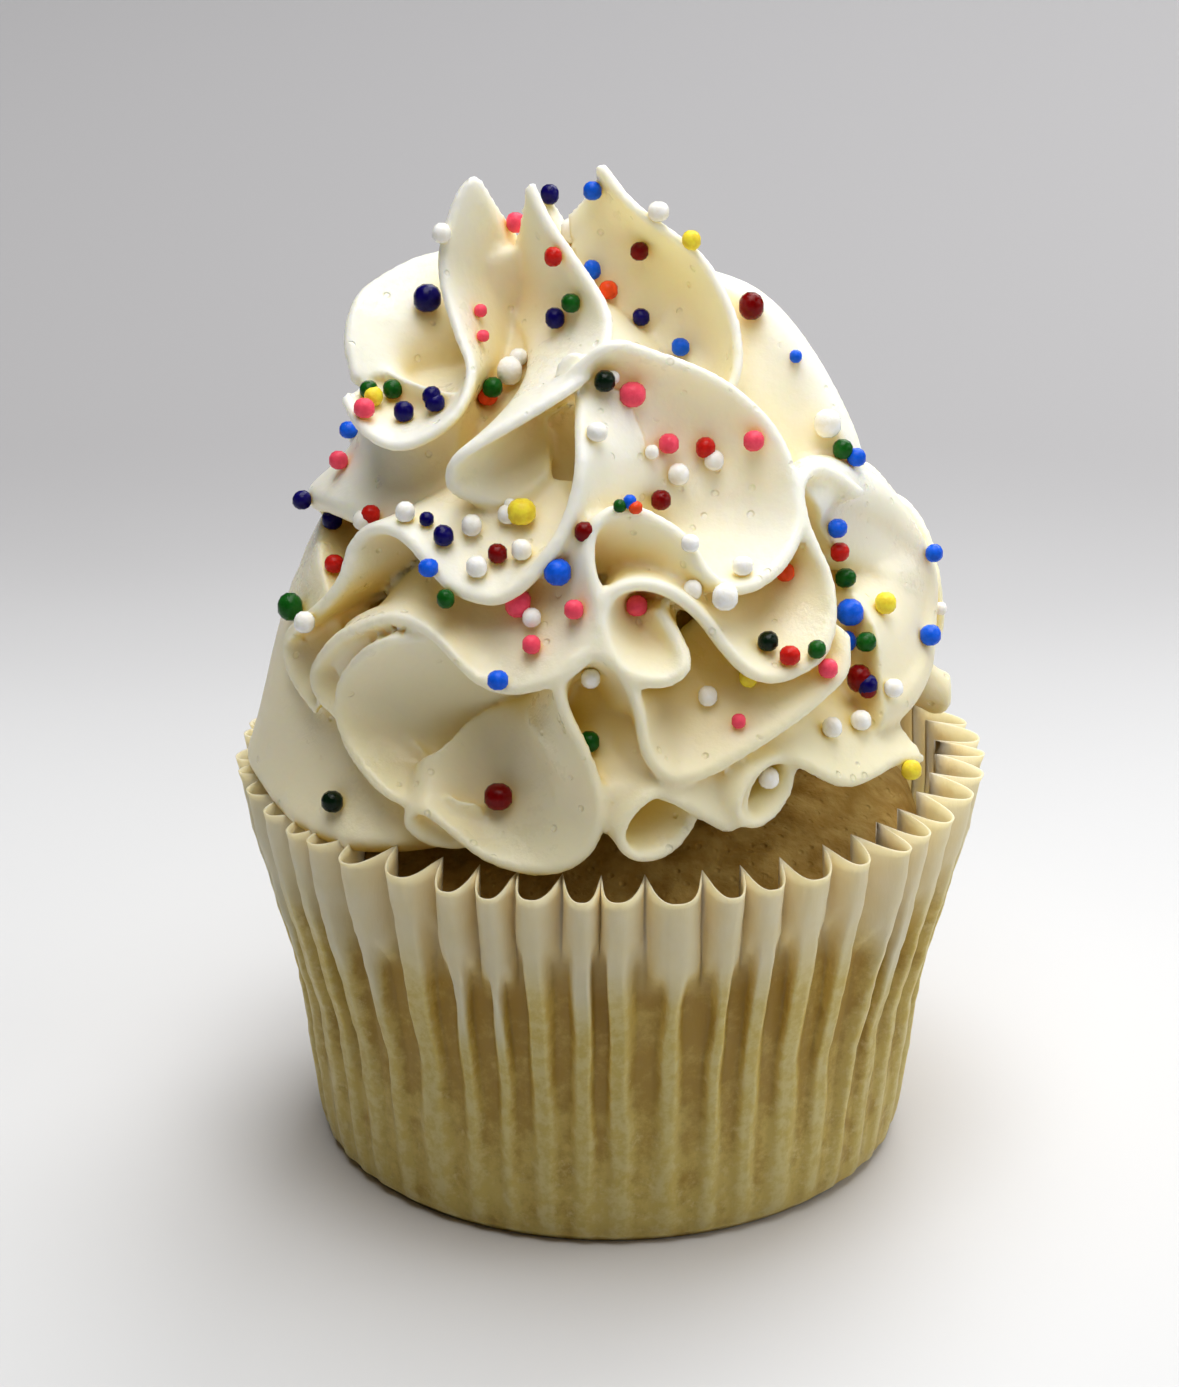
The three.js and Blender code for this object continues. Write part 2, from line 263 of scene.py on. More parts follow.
FRONT_FOLDS = (
    Fold("crown_left_leaf",
         rim=((-10.8, -2.5, 87.8), (-11.6, -3, 88.3), (-12.7, -3.5, 87), (-13.6, -4.5, 84.5),
              (-14.1, -5.5, 82), (-13.7, -7, 79.5), (-12.6, -9.5, 76.8), (-11.6, -12, 74.5),
              (-12.5, -14.5, 72), (-15, -15.5, 70), (-18, -15, 69), (-20.8, -12.5, 69.8),
              (-22.3, -9.5, 71.5)),
         root=((-7.3, 1, 80), (-7.5, 2, 79), (-8, 1.5, 77), (-8.5, 0, 75), (-9.5, -2, 72.5),
               (-11, -3, 71.3), (-13.5, -3.5, 70.6), (-16, -4, 70.3), (-18.5, -5, 70.3), (-20.5, -6, 70.8)),
         edge=1, foot=3.5),
    Fold("crown_bowl_back",
         rim=((-21.2, -7, 72), (-22, -4.5, 74.8), (-21.3, -1.5, 77.3), (-19.2, 1, 78.5), (-16, 3, 79.6),
              (-12.5, 4, 79.8), (-10, 4, 79)),
         root=((-19, -5, 70), (-18.5, -3.5, 70), (-17, -2, 70), (-15, -1.5, 70.5), (-13, -1, 71),
               (-10.5, 0, 71.5), (-8, 1, 72)), edge=1.4, foot=5, belly=(-1.5,)),
    Fold("crown_middle_leaf",
         rim=((-6.8, -5, 88.3), (-5.3, -6.5, 85.5), (-3, -8, 82.5), (-0.9, -10, 79.8), (-0.3, -12, 77.9),
              (-1.1, -14.5, 76.2), (-3, -17, 75), (-6, -18.5, 73.4), (-9.6, -19.5, 71.5),
              (-12.3, -19.8, 69.8), (-13.2, -19.3, 68), (-12.6, -18.8, 66.4), (-9.8, -18.5, 65.2),
              (-7, -17.8, 65.6), (-5, -16.5, 67.3)),
         root=((-7.2, 1, 80), (-7, 0, 77), (-6.5, -4, 74), (-5.5, -8, 72), (-4.5, -9.5, 71.3),
               (-4.5, -10.5, 70.5), (-5.5, -11.5, 69.8), (-6, -12, 69.5), (-5, -12, 69.5)), edge=1.1,
         foot=3.5),
    Fold("crown_right_leaf",
         rim=((-1, 1, 88.5), (1.5, -1, 85.8), (4.5, -2, 83.7), (7.3, -3, 81.7), (9.2, -4.5, 79),
              (10.4, -6, 76), (10.4, -8, 73), (8.8, -9.5, 70.5)),
         root=((-2.5, 4, 84), (-2, 3, 79), (-1, 1, 75), (2, -2, 71), (5, -5, 69)), edge=1.1, foot=3.5,
         belly=(1, 2.2, 3.2, 3, 2)),
    Fold("front_banner",
         rim=around((-8, 73.2, .8), (-2, 74.6, .86), (4, 76.2, .93), (10, 77.5, .98), (16, 77.9),
                    (23, 77.1), (34, 75.5), (42, 73.5), (47, 70.3), (46.5, 66.6), (42.5, 63.3), (35.5, 61),
                    (28, 59.8), (22.5, 60), (19.5, 61.5), (17.5, 63.7), (13.5, 65.2), (8.5, 66.2),
                    (3.5, 66), (0, 64.7), (-1.2, 62.5), (-0.3, 60), (-0.5, 57.5), (-3.5, 55.4), (-7.5, 54),
                    (-12.5, 53), (-17.5, 52.6), (-22, 53.3), (-26, 54.8), (-30, 56), (-35, 56.6),
                    (-40, 56.2), (-45, 55), (-50, 53.4), (-55, 51), (-58, 49), (-56, 47.5), (-51, 46.8)),
         root=around((7, 74.5, .8), (9.5, 71.5, .75), (12.5, 69, .72), (15.5, 66.5, .7), (17, 64.5, .68),
                     (15, 63, .66), (10, 62, .64), (3, 61.5, .62), (-4, 60, .68), (-10, 59, .7),
                     (-18, 59, .72), (-30, 59, .74), (-41, 57.5, .76), (-49, 53, .8), (-51, 49.5, .82)),
         edge=1.2, foot=5, belly=(1.6, 2, 1.6, 0, 0, 0, 0, 0)),
    Fold("upper_shelf",
         rim=around((3, 74, .8), (1, 72, .92), (0, 70), (-2, 67.5), (-5, 65), (-9, 62.8), (-13.5, 60.6),
                    (-18, 59.4), (-22.5, 59.4), (-27.5, 60), (-32, 61.3), (-37.5, 62.7), (-43, 63),
                    (-48, 62.2), (-51, 60.5), (-51.5, 58.5), (-54, 56.3), (-60, 53.5), (-66, 51.5),
                    (-70, 49.5), (-66, 47.5), (-57, 46)),
         root=around((9, 73.5, .76), (11, 70, .73), (12.5, 67, .71), (9, 65, .69), (1, 64.5, .67),
                     (-10, 64.5, .66), (-20, 64, .68), (-30, 64, .68), (-40, 63, .68), (-50, 60, .66),
                     (-60, 56, .72), (-62, 51, .78)), edge=1.2, foot=5),
    Fold("hollow_petal",
         rim=around((-14, 56, .76), (-23, 56, .86), (-31, 55.4, .95), (-38, 54.8), (-44.5, 52.6),
                    (-49.5, 49.5), (-50.5, 46.8), (-48.5, 44.6), (-44.5, 42.8), (-39, 41.4),
                    (-34, 40.8, .98), (-30, 41, .92)),
         root=around((-9, 51, .7), (-14, 50, .69), (-20, 48.8, .69), (-26, 47.2, .7), (-31, 45.2, .72),
                     (-34.5, 43.2, .77), (-35.5, 41.6, .83), (-34, 40.6, .88)), edge=1, foot=2.6,
         belly=(-0.8, -0.6, 0)),
    Fold("under_banner",
         rim=around((-38, 56, .9), (-44, 55, .93), (-50, 53, .94), (-54, 50, .93)),
         root=around((-36, 53, .8), (-42, 51, .86), (-47, 49.5, .9), (-50, 47.5, .92)), edge=3, foot=3),
    Fold("front_apron",
         rim=around((-22, 38.4, .92), (-27.5, 37.7, .95), (-32, 38.1, .98), (-34.6, 39.4), (-33.2, 40.8),
                    (-30, 40.6), (-26, 39.4), (-20.5, 37.8), (-13.5, 37.1), (-8, 37.6), (-4, 39.2),
                    (-2.2, 41.5), (-2.3, 44.5), (-4.5, 48), (-7, 51), (-7.7, 53.2), (-6, 55), (-2.5, 55.9),
                    (1, 55.4), (3.5, 53.6), (4.8, 51), (5.4, 48), (7.5, 46), (11, 45.2), (15.5, 45.7),
                    (20.5, 46.8), (26, 48), (32, 49.3), (37, 50.5), (42, 52), (45, 54.5, .97)),
         root=around((-24, 40.2, .88), (-29, 40.8, .9), (-33.5, 42, .9), (-33.5, 44, .83), (-30, 45.8, .75),
                     (-24, 47.2, .71), (-18, 48.2, .7), (-12.5, 49.4, .7), (-8, 50.8, .68), (-4, 51.5, .66),
                     (-1.5, 50.5, .66), (1, 49.5, .72), (4, 49.5, .78), (9, 50.5, .74), (16, 52.5, .68),
                     (26, 54.5, .66), (36, 57, .66), (42, 59, .68)), edge=1.2, foot=4.5,
         belly=(0.6, 0.5, 0.4, -0.8, -1.4, -0.8, 0.6, 1.8, 2.6, 1.8, 0.6, 0, 0, 0, 0, 0, 0, 0, 0, 0)),
    Fold("arch_floor",
         rim=around((-9, 43, .9), (-4, 43.2, .94), (1, 43.6, .95), (6, 44.2, .92)),
         root=around((-9, 52, .7), (-4, 53, .7), (1, 53, .7), (5, 52, .7)), edge=3, foot=4, belly=(-0.8,)),
    Fold("right_scroll",
         rim=around((10.5, 58.5, .93), (12.5, 56.5, .97), (13, 54.8), (10, 53.7), (6, 53.7), (2, 54.8),
                    (0, 57), (0.5, 59.3), (3.5, 60.6), (8, 60.9), (13, 60.1), (17.3, 58.2), (20, 55.8),
                    (23, 53.8), (27.5, 52.8), (32.5, 53), (37.5, 54), (42, 56.2), (44.3, 59), (44, 61.5),
                    (44.8, 64), (48, 66), (53.5, 66.6), (59, 65.6), (64, 63.4)),
         root=around((9, 58, .8), (10, 56.5, .8), (9, 55.5, .77), (6.5, 55.8, .75), (5.5, 57, .72),
                     (8, 58.5, .68), (14, 58.8, .66), (20, 58.5, .66), (27, 58, .66), (34, 58.5, .64),
                     (40, 61, .6), (46, 63, .56), (54, 62, .56), (60, 60, .6)), edge=1.2, foot=4.5),
    Fold("front_scroll",
         rim=around(*FRONT_SCROLL),
         root=drawn_in(FRONT_SCROLL, -8, 3.6, 0.2), edge=0.9, foot=2),
    Fold("side_scroll",
         rim=around(*SIDE_SCROLL),
         root=drawn_in(SIDE_SCROLL, -7, 3.2, 0.2), edge=0.9, foot=2),
    Fold("lower_ribbon",
         rim=around((-1, 44, .88), (2, 44.6, .93), (6, 44, .97), (10, 43.4), (14, 42.1), (18.5, 40.6),
                    (21.5, 41.4, .99), (23, 43.6, .97), (26.5, 45.2, .96), (31, 45.2, .98), (35.5, 43.7),
                    (40, 42.3), (44, 41.9), (49, 42), (54, 42), (60, 41.2, 1.02)),
         root=around((-1, 47, .7), (3, 49, .76), (8, 49, .8), (14, 48, .8), (20, 47.5, .8), (26, 48.5, .78),
                     (32, 49, .74), (40, 48, .7), (50, 47, .7), (60, 45, .74)), edge=1.2, foot=4,
         belly=(0.8,)),
    Fold("right_lobe",
         rim=around((54, 63, .84), (62, 64, .86), (71, 62.5, .88), (80, 60, .9), (86, 56.5, .91),
                    (87, 53, .91), (83, 49.5, .9), (74, 47, .9), (63, 46, .9), (53, 46, .9)),
         root=around((60, 60, .66), (66, 60, .66), (72, 58.5, .66), (76, 56, .66), (74, 53, .66),
                     (68, 52, .66), (60, 52, .68)), edge=5, foot=9, belly=(-2,)),
    Fold("right_shoulder",
         rim=around((104, 77.5, .62), (96, 76.5, .8), (90, 75, .88), (84, 72.5, .91), (80, 69.5, .91),
                    (76, 66, .91), (73, 63, .88)),
         root=around((104, 70, .2), (90, 69, .3), (76, 68, .36), (68, 66, .4), (66, 64, .42), (62, 62, .5)),
         edge=4.5, foot=8),
    Fold("left_wall",
         rim=around((-132, 69, .72), (-130, 65.5, .82), (-125, 62.5, .92), (-117, 61, .9), (-108, 61.5, .8),
                    (-99, 60.5, .84), (-90, 59.5, .9), (-80, 60.5, .87), (-68, 61.2, .84), (-55, 61.5, .82),
                    (-42, 62, .76)),
         root=around((-128, 71, .6), (-122, 71.5, .62), (-115, 72, .64), (-106, 72, .66), (-95, 72, .7),
                     (-75, 72, .74), (-55, 71.5, .7), (-42, 71, .62)), edge=3, foot=6, belly=(-1.5,)),
    Fold("left_shoulder",
         rim=around((-132, 52, .76), (-134, 47.5, .86), (-130, 43, .97), (-122, 40.3, 1.02),
                    (-114, 39.8, .96), (-107, 41, .86), (-99, 41.2, .88), (-91, 39, .98), (-82, 37.4, 1.04),
                    (-72, 36.9, 1.03), (-58, 36.4, 1.03), (-46, 36.2, 1.0), (-38, 36.6, .94),
                    (-30, 37.2, .86), (-22, 38, .82)),
         root=around((-126, 54, .66), (-121, 55.5, .66), (-113, 57, .68), (-103, 57.5, .7), (-92, 57, .75),
                     (-80, 56, .77), (-70, 54, .78), (-54, 48, .78), (-42, 42.5, .78), (-34, 40, .78),
                     (-26, 39.5, .78), (-20, 39.5, .76)), edge=2.6, foot=7,
         belly=(0.6, 1.6, 2.9, 1.4, 0.2, 0)),
)
# The folds that face forward, from the crown down, with their knots given one by one.
"""The folds that face forward, from the crown down, with knots placed by hand."""


@dataclass(frozen=True)
class Turned:
    """A fold piped again further round the heap.

    Attributes:
        name: The fold that it repeats.
        turn: How far round it stands, in degrees.
        lift: How much higher it lies, in mm.
    """

    name: str
    turn: float
    lift: float = 0.0


BACK_FOLDS = (
    Turned("crown_right_leaf", 150, -2.5), Turned("crown_middle_leaf", 196, -4),
    Turned("front_banner", 176, -1), Turned("upper_shelf", 188, 1.5), Turned("hollow_petal", 184, 0.5),
    Turned("front_apron", 190, 0.5), Turned("right_scroll", 171, 0.5), Turned("front_scroll", 193, 1),
    Turned("lower_ribbon", 178, 0.5), Turned("arch_floor", 190, 0.5), Turned("hollow_petal", 146, 1),
    Turned("front_apron", 122, 1.5), Turned("side_scroll", 232, 1),
)
"""The folds of the far side, which repeat the front ones turned and shifted."""


# ------------------------------------------------------------------ workshop helpers


def select_only(*objects: bpy.types.Object) -> None:
    """Deselects everything, then selects some objects.

    Args:
        *objects: The objects to select, the first of which becomes active.
    """
    for other in bpy.context.view_layer.objects:
        other.select_set(False)
    for each in objects:
        each.select_set(True)
    bpy.context.view_layer.objects.active = objects[0]


def mesh_piece(name: str, corners: np.ndarray, faces: list[tuple[int, ...]]) -> bpy.types.Object:
    """Makes a mesh object.

    Args:
        name: What the piece is called.
        corners: The corners in mm, one row each.
        faces: The corners round each face.

    Returns:
        The piece, standing in the scene.
    """
    mesh = bpy.data.meshes.new(name)
    mesh.from_pydata((np.asarray(corners) * MM).tolist(), [], faces)
    mesh.update()
    piece = bpy.data.objects.new(name, mesh)
    bpy.context.collection.objects.link(piece)
    return piece


def tube_faces(rings: int, girth: int) -> list[tuple[int, ...]]:
    """Lists the faces of a closed tube whose corners run ring by ring.

    Args:
        rings: The number of rings.
        girth: The number of corners in each ring.

    Returns:
        The first end, the wall and the last end.
    """
    faces = [tuple(reversed(range(girth)))]
    for low in range(0, (rings - 1) * girth, girth):
        for side in range(girth):
            following = (side + 1) % girth
            faces.append((low + side, low + following, low + girth + following, low + girth + side))
    faces.append(tuple((rings - 1) * girth + side for side in range(girth)))
    return faces


def join(pieces: list[bpy.types.Object], name: str) -> bpy.types.Object:
    """Joins pieces into one.

    Args:
        pieces: The pieces, which the first one takes in.
        name: What the result is called.

    Returns:
        The joined piece.
    """
    select_only(*pieces)
    bpy.ops.object.join()
    joined = bpy.context.view_layer.objects.active
    joined.name = name
    joined.data.name = name
    return joined


def apply_modifier(piece: bpy.types.Object, kind: str, **settings: object) -> None:
    """Adds one modifier to a piece and applies it.

    Args:
        piece: The object to change.
        kind: The modifier's type.
        **settings: The modifier's own settings.
    """
    select_only(piece)
    modifier = piece.modifiers.new(kind.title(), kind)
    for key, value in settings.items():
        setattr(modifier, key, value)
    bpy.ops.object.modifier_apply(modifier=modifier.name)


def shade_smooth(piece: bpy.types.Object) -> None:
    """Shades a piece smooth."""
    select_only(piece)
    bpy.ops.object.shade_smooth()


def recalculate_outwards(piece: bpy.types.Object) -> None:
    """Turns a closed piece's faces outwards.

    Args:
        piece: The object to change.
    """
    select_only(piece)
    bpy.ops.object.mode_set(mode="EDIT")
    bpy.ops.mesh.select_all(action="SELECT")
    bpy.ops.mesh.normals_make_consistent(inside=False)
    bpy.ops.object.mode_set(mode="OBJECT")


def corners_of(piece: bpy.types.Object) -> np.ndarray:
    """Reads a piece's corners.

    Args:
        piece: The object to read.

    Returns:
        The corners in mm, one row each.
    """
    flat = np.empty(len(piece.data.vertices) * 3)
    piece.data.vertices.foreach_get("co", flat)
    return flat.reshape(-1, 3) / MM


def set_corners(piece: bpy.types.Object, corners: np.ndarray) -> None:
    """Writes a piece's corners, in mm."""
    piece.data.vertices.foreach_set("co", (corners * MM).ravel())
    piece.data.update()


# ------------------------------------------------------------------ the buttercream


NO_LENGTH = 1e-9
"""A length too small to matter, which keeps a direction of no length from dividing by zero."""


@dataclass
class Frosting:
    """The ruffled heap of buttercream: a solid heart and the folds fused to it.

    Attributes:
        node: The plain node that it stands for.
        heart_shares: The heart's height in mm and its share of the outline's reach there.
        heart_sides: The number of corners round the heart.
        heart_rings: The number of steps up the heart.
        spacing: The distance between points along a fold, in mm.
        rows: The number of points from a fold's rim to its root.
        nose_angles: Where the points of a fold's round rim lie, in degrees.
        evening: How many times the directions that a fold faces are evened out.
        taper: How late a fold thickens towards its root.
        grain: The size of the cells that the folds are fused in, in mm.
        smoothing: How many times the fused heap is smoothed.
        drawn_radius: The mean radius in mm that the knots were drawn for.
        seat: The height in mm that stays put when the heap is brought to its own height.
        tips: How far the thin tips stand above the plain part, in mm.
        most_triangles: The most triangles that the heap may have.
    """

    node: str = "frosting"
    heart_shares: tuple[tuple[float, float], ...] = (
        (35, 0.5), (38, 0.66), (45, 0.6), (55, 0.62), (62, 0.68), (68, 0.6), (72, 0.46), (76, 0.27),
        (78, 0.12))
    heart_sides: int = 48
    heart_rings: int = 24
    spacing: float = 0.8
    rows: int = 9
    nose_angles: tuple[float, ...] = (30, 60, 90, 120, 150)
    evening: int = 3
    taper: float = 1.6
    grain: float = 0.45
    smoothing: int = 4
    drawn_radius: float = 28.96
    seat: float = 35.0
    tips: float = 0.6
    most_triangles: int = 190_000

    def sheet(self, fold: Fold) -> bpy.types.Object:
        """Builds one fold as a closed sheet with a round rim.

        Args:
            fold: The fold to build.

        Returns:
            The sheet.
        """
        rim = smooth_route(fold.rim, self.spacing)
        root = smooth_route(fold.root, self.spacing, count=len(rim))
        across = root - rim
        facing = self.unit(np.cross(np.gradient(rim + root, axis=0), across))
        for _ in range(self.evening):
            facing[1:-1] = facing[:-2] + 2 * facing[1:-1] + facing[2:]
            facing = self.unit(facing)
        inward = self.unit(across)
        shares = [1 - step / (self.rows - 1) for step in range(self.rows)]
        rings = [self.layer(fold, rim, across, facing, share, 1.0) for share in shares]
        for angle in self.nose_angles:
            out, side = math.sin(math.radians(angle)), math.cos(math.radians(angle))
            rings.append(rim - inward * out * fold.edge / 2 + facing * side * fold.edge / 2)
        rings += [self.layer(fold, rim, across, facing, share, -1.0) for share in reversed(shares)]
        corners = np.stack(rings, axis=1)
        piece = mesh_piece(fold.name, corners.reshape(-1, 3), tube_faces(*corners.shape[:2]))
        recalculate_outwards(piece)
        return piece

    @staticmethod
    def unit(ways: np.ndarray) -> np.ndarray:
        """Brings directions, one row each, to length 1."""
        return ways / (np.linalg.norm(ways, axis=1)[:, None] + NO_LENGTH)

    def layer(self, fold: Fold, rim: np.ndarray, across: np.ndarray, facing: np.ndarray, share: float,
              side: float) -> np.ndarray:
        """Places one lengthwise line of a sheet's skin.

        Args:
            fold: The fold being built.
            rim: Points along the free edge.
            across: From each rim point to its root point.
            facing: The direction that the sheet faces at each rim point.
            share: How far in from the rim the line runs, from 0 to 1.
            side: 1 for the front skin and -1 for the back one.

        Returns:
            The line's points.
        """
        thick = fold.edge + (fold.foot - fold.edge) * share ** self.taper
        steps = np.linspace(0, 1, len(fold.belly))
        bow = np.interp(np.linspace(0, 1, len(rim)), steps, fold.belly) * math.sin(math.pi * share)
        return rim + across * share + facing * (side * thick / 2 + bow[:, None])

    def heart(self) -> bpy.types.Object:
        """Turns the solid middle of the heap, which leans as the outline does.

        Returns:
            The middle, closed at both ends.
        """
        foot, top = self.heart_shares[0][0], self.heart_shares[-1][0]
        corners = []
        for ring in range(self.heart_rings + 1):
            height = foot + (top - foot) * ring / self.heart_rings
            reach = along(self.heart_shares, height) * along(OUTLINE, height)
            lean = along(OUTLINE, height, 2)
            for side in range(self.heart_sides):
                angle = 2 * math.pi * side / self.heart_sides
                corners.append((lean + reach * math.cos(angle), reach * math.sin(angle), height))
        return mesh_piece("heart", np.array(corners), tube_faces(self.heart_rings + 1, self.heart_sides))

    @staticmethod
    def turned(knots: tuple[Point, ...], copy: Turned) -> tuple[Point, ...]:
        """Moves a fold's knots round the leaning heap.

        Args:
            knots: The knots of the fold that is repeated.
            copy: How far they are turned and lifted.

        Returns:
            The moved knots.
        """
        angle = math.radians(copy.turn)
        moved = []
        for right, back, height in knots:
            off = right - along(OUTLINE, height, 2)
            lifted = height + copy.lift
            grown = along(OUTLINE, lifted) / along(OUTLINE, height)
            across = grown * (off * math.cos(angle) - back * math.sin(angle))
            depth = grown * (off * math.sin(angle) + back * math.cos(angle))
            moved.append((along(OUTLINE, lifted, 2) + across, depth, lifted))
        return tuple(moved)

    def settle(self, heap: bpy.types.Object) -> None:
        """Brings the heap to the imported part's width and height, its thin tips a little higher.

        Args:
            heap: The fused heap.
        """
        corners = corners_of(heap)
        wide = HEAP.radius / self.drawn_radius
        tall = (HEAP.top + self.tips - self.seat) / (corners[:, 2].max() - self.seat)
        corners *= (wide, wide, tall)
        corners[:, 2] += self.seat * (1 - tall)
        set_corners(heap, corners)

    def build(self) -> bpy.types.Object:
        """Fuses the heart and the folds into one smooth heap.

        Returns:
            The heap in its finish.
        """
        named = {fold.name: fold for fold in FRONT_FOLDS}
        folds = list(FRONT_FOLDS)
        for copy in BACK_FOLDS:
            fold = named[copy.name]
            folds.append(replace(fold, rim=self.turned(fold.rim, copy), root=self.turned(fold.root, copy)))
        heap = join([self.heart()] + [self.sheet(fold) for fold in folds], "buttercream")
        heap.data.remesh_voxel_size = self.grain * MM
        select_only(heap)
        bpy.ops.object.voxel_remesh()
        apply_modifier(heap, "SMOOTH", factor=0.5, iterations=self.smoothing)
        apply_modifier(heap, "DECIMATE", ratio=self.most_triangles / (2 * len(heap.data.polygons)))
        self.settle(heap)
        shade_smooth(heap)
        heap.data.materials.clear()
        heap.data.materials.append(Buttercream().material())
        return heap


# ------------------------------------------------------------------ material recipes


MIX_FIRST, MIX_SECOND, MIX_RESULT = 6, 7, 2
"""The places of the Mix node's colour sockets, which share their names with its other sockets."""
MIDDLE_NOISE = 0.5
"""The value that cloudy noise lies around."""


class Recipe:
    """A procedural material, put together node by node on the piece's own coordinates.

    Attributes:
        looks_round: How many ways a place looks to tell how open it lies.
    """

    looks_round = 3

    def __init__(self, name: str) -> None:
        """Starts an empty recipe with its shader and the piece's own coordinates.

        Args:
            name: What the material is called.
        """
        self.material = bpy.data.materials.new(name)
        self.material.use_nodes = True
        self.tree = self.material.node_tree
        self.shader = self.tree.nodes["Principled BSDF"]
        self.place = self.tree.nodes.new("ShaderNodeTexCoord").outputs["Object"]

    def fill(self, socket: bpy.types.NodeSocket, value: object) -> None:
        """Fills one socket.

        Args:
            socket: The socket to fill.
            value: An output to link it to, or a plain value.
        """
        if isinstance(value, bpy.types.NodeSocket):
            self.tree.links.new(value, socket)
        else:
            socket.default_value = value

    def set(self, **values: object) -> None:
        """Fills the shader's sockets, each named with underscores for spaces."""
        for key, value in values.items():
            self.fill(self.shader.inputs[key.replace("_", " ")], value)

    def noise(self, size: float, detail: float = 3.0, roughness: float = 0.55,
              place: bpy.types.NodeSocket | None = None) -> bpy.types.NodeSocket:
        """Adds cloudy noise.

        Args:
            size: The size of its patches, in mm.
            detail: How many finer layers it has.
            roughness: How strong the finer layers are.
            place: The coordinates it reads, if not the piece's own.

        Returns:
            The noise, from 0 to 1.
        """
        node = self.tree.nodes.new("ShaderNodeTexNoise")
        node.inputs["Scale"].default_value = 1 / (size * MM)
        node.inputs["Detail"].default_value = detail
        node.inputs["Roughness"].default_value = roughness
        self.fill(node.inputs["Vector"], place or self.place)
        return node.outputs["Fac"]

    def cells(self, size: float) -> bpy.types.NodeSocket:
        """Adds scattered points.

        Args:
            size: How far apart they lie, in mm.

        Returns:
            The distance to the nearest one, as a share of that.
        """
        node = self.tree.nodes.new("ShaderNodeTexVoronoi")
        node.inputs["Scale"].default_value = 1 / (size * MM)
        self.fill(node.inputs["Vector"], self.place)
        return node.outputs["Distance"]

    def stretched(self, across: float, along_height: float) -> bpy.types.NodeSocket:
        """Scales the piece's coordinates, so a pattern runs up and down the piece.

        Args:
            across: The scale on the level.
            along_height: The scale upwards, where less makes a pattern longer.

        Returns:
            The scaled coordinates.
        """
        node = self.tree.nodes.new("ShaderNodeMapping")
        node.inputs["Scale"].default_value = (across, across, along_height)
        self.fill(node.inputs["Vector"], self.place)
        return node.outputs["Vector"]

    def height(self) -> bpy.types.NodeSocket:
        """Adds the height above the table, in metres."""
        return self.part("Z")

    def part(self, axis: str) -> bpy.types.NodeSocket:
        """Adds one part of the piece's coordinates.

        Args:
            axis: X, Y or Z.

        Returns:
            That part, in metres.
        """
        node = self.tree.nodes.new("ShaderNodeSeparateXYZ")
        self.fill(node.inputs["Vector"], self.place)
        return node.outputs[axis]

    def attribute(self, name: str) -> bpy.types.NodeSocket:
        """Reads one of the piece's own marks.

        Args:
            name: What the mark is called.

        Returns:
            Its value.
        """
        node = self.tree.nodes.new("ShaderNodeAttribute")
        node.attribute_name = name
        return node.outputs["Fac"]

    def combine(self, operation: str, first: object, second: object) -> bpy.types.NodeSocket:
        """Works one value out of two.

        Args:
            operation: The Math node's operation.
            first: The first value or output.
            second: The second one.

        Returns:
            The result.
        """
        node = self.tree.nodes.new("ShaderNodeMath")
        node.operation = operation
        self.fill(node.inputs[0], first)
        self.fill(node.inputs[1], second)
        return node.outputs["Value"]

    def band(self, value: bpy.types.NodeSocket, low: float, high: float, to_low: float = 0.0,
             to_high: float = 1.0) -> bpy.types.NodeSocket:
        """Maps a range of a value smoothly onto another.

        Args:
            value: The value to map.
            low: Where the range starts.
            high: Where it ends.
            to_low: The result at and before its start.
            to_high: The result at and past its end.

        Returns:
            The result.
        """
        node = self.tree.nodes.new("ShaderNodeMapRange")
        node.interpolation_type = "SMOOTHSTEP"
        self.fill(node.inputs["Value"], value)
        node.inputs["From Min"].default_value = low
        node.inputs["From Max"].default_value = high
        node.inputs["To Min"].default_value = to_low
        node.inputs["To Max"].default_value = to_high
        return node.outputs["Result"]

    def blend(self, share: object, first: object, second: object) -> bpy.types.NodeSocket:
        """Mixes two colours.

        Args:
            share: The second one's share, from 0 to 1.
            first: The first colour or output.
            second: The second one.

        Returns:
            The mixed colour.
        """
        node = self.tree.nodes.new("ShaderNodeMix")
        node.data_type = "RGBA"
        self.fill(node.inputs["Factor"], share)
        self.fill(node.inputs[MIX_FIRST], first)
        self.fill(node.inputs[MIX_SECOND], second)
        return node.outputs[MIX_RESULT]

    def shut_in(self, reach: float) -> bpy.types.NodeSocket:
        """Adds how open the surface lies to its surroundings.

        Args:
            reach: How far the surroundings count, in mm.

        Returns:
            1 where it lies open and 0 where it is shut in.
        """
        node = self.tree.nodes.new("ShaderNodeAmbientOcclusion")
        node.inputs["Distance"].default_value = reach * MM
        node.samples = self.looks_round
        return node.outputs["AO"]

    def bump(self, height: bpy.types.NodeSocket, depth: float, strength: float = 1.0,
             under: bpy.types.NodeSocket | None = None) -> bpy.types.NodeSocket:
        """Adds fine relief.

        Args:
            height: The pattern, from 0 to 1.
            depth: How deep the relief is, in mm.
            strength: How strongly it shows.
            under: Relief that lies under it.

        Returns:
            The bent normal.
        """
        node = self.tree.nodes.new("ShaderNodeBump")
        node.inputs["Strength"].default_value = strength
        node.inputs["Distance"].default_value = depth * MM
        self.fill(node.inputs["Height"], height)
        if under is not None:
            self.fill(node.inputs["Normal"], under)
        return node.outputs["Normal"]


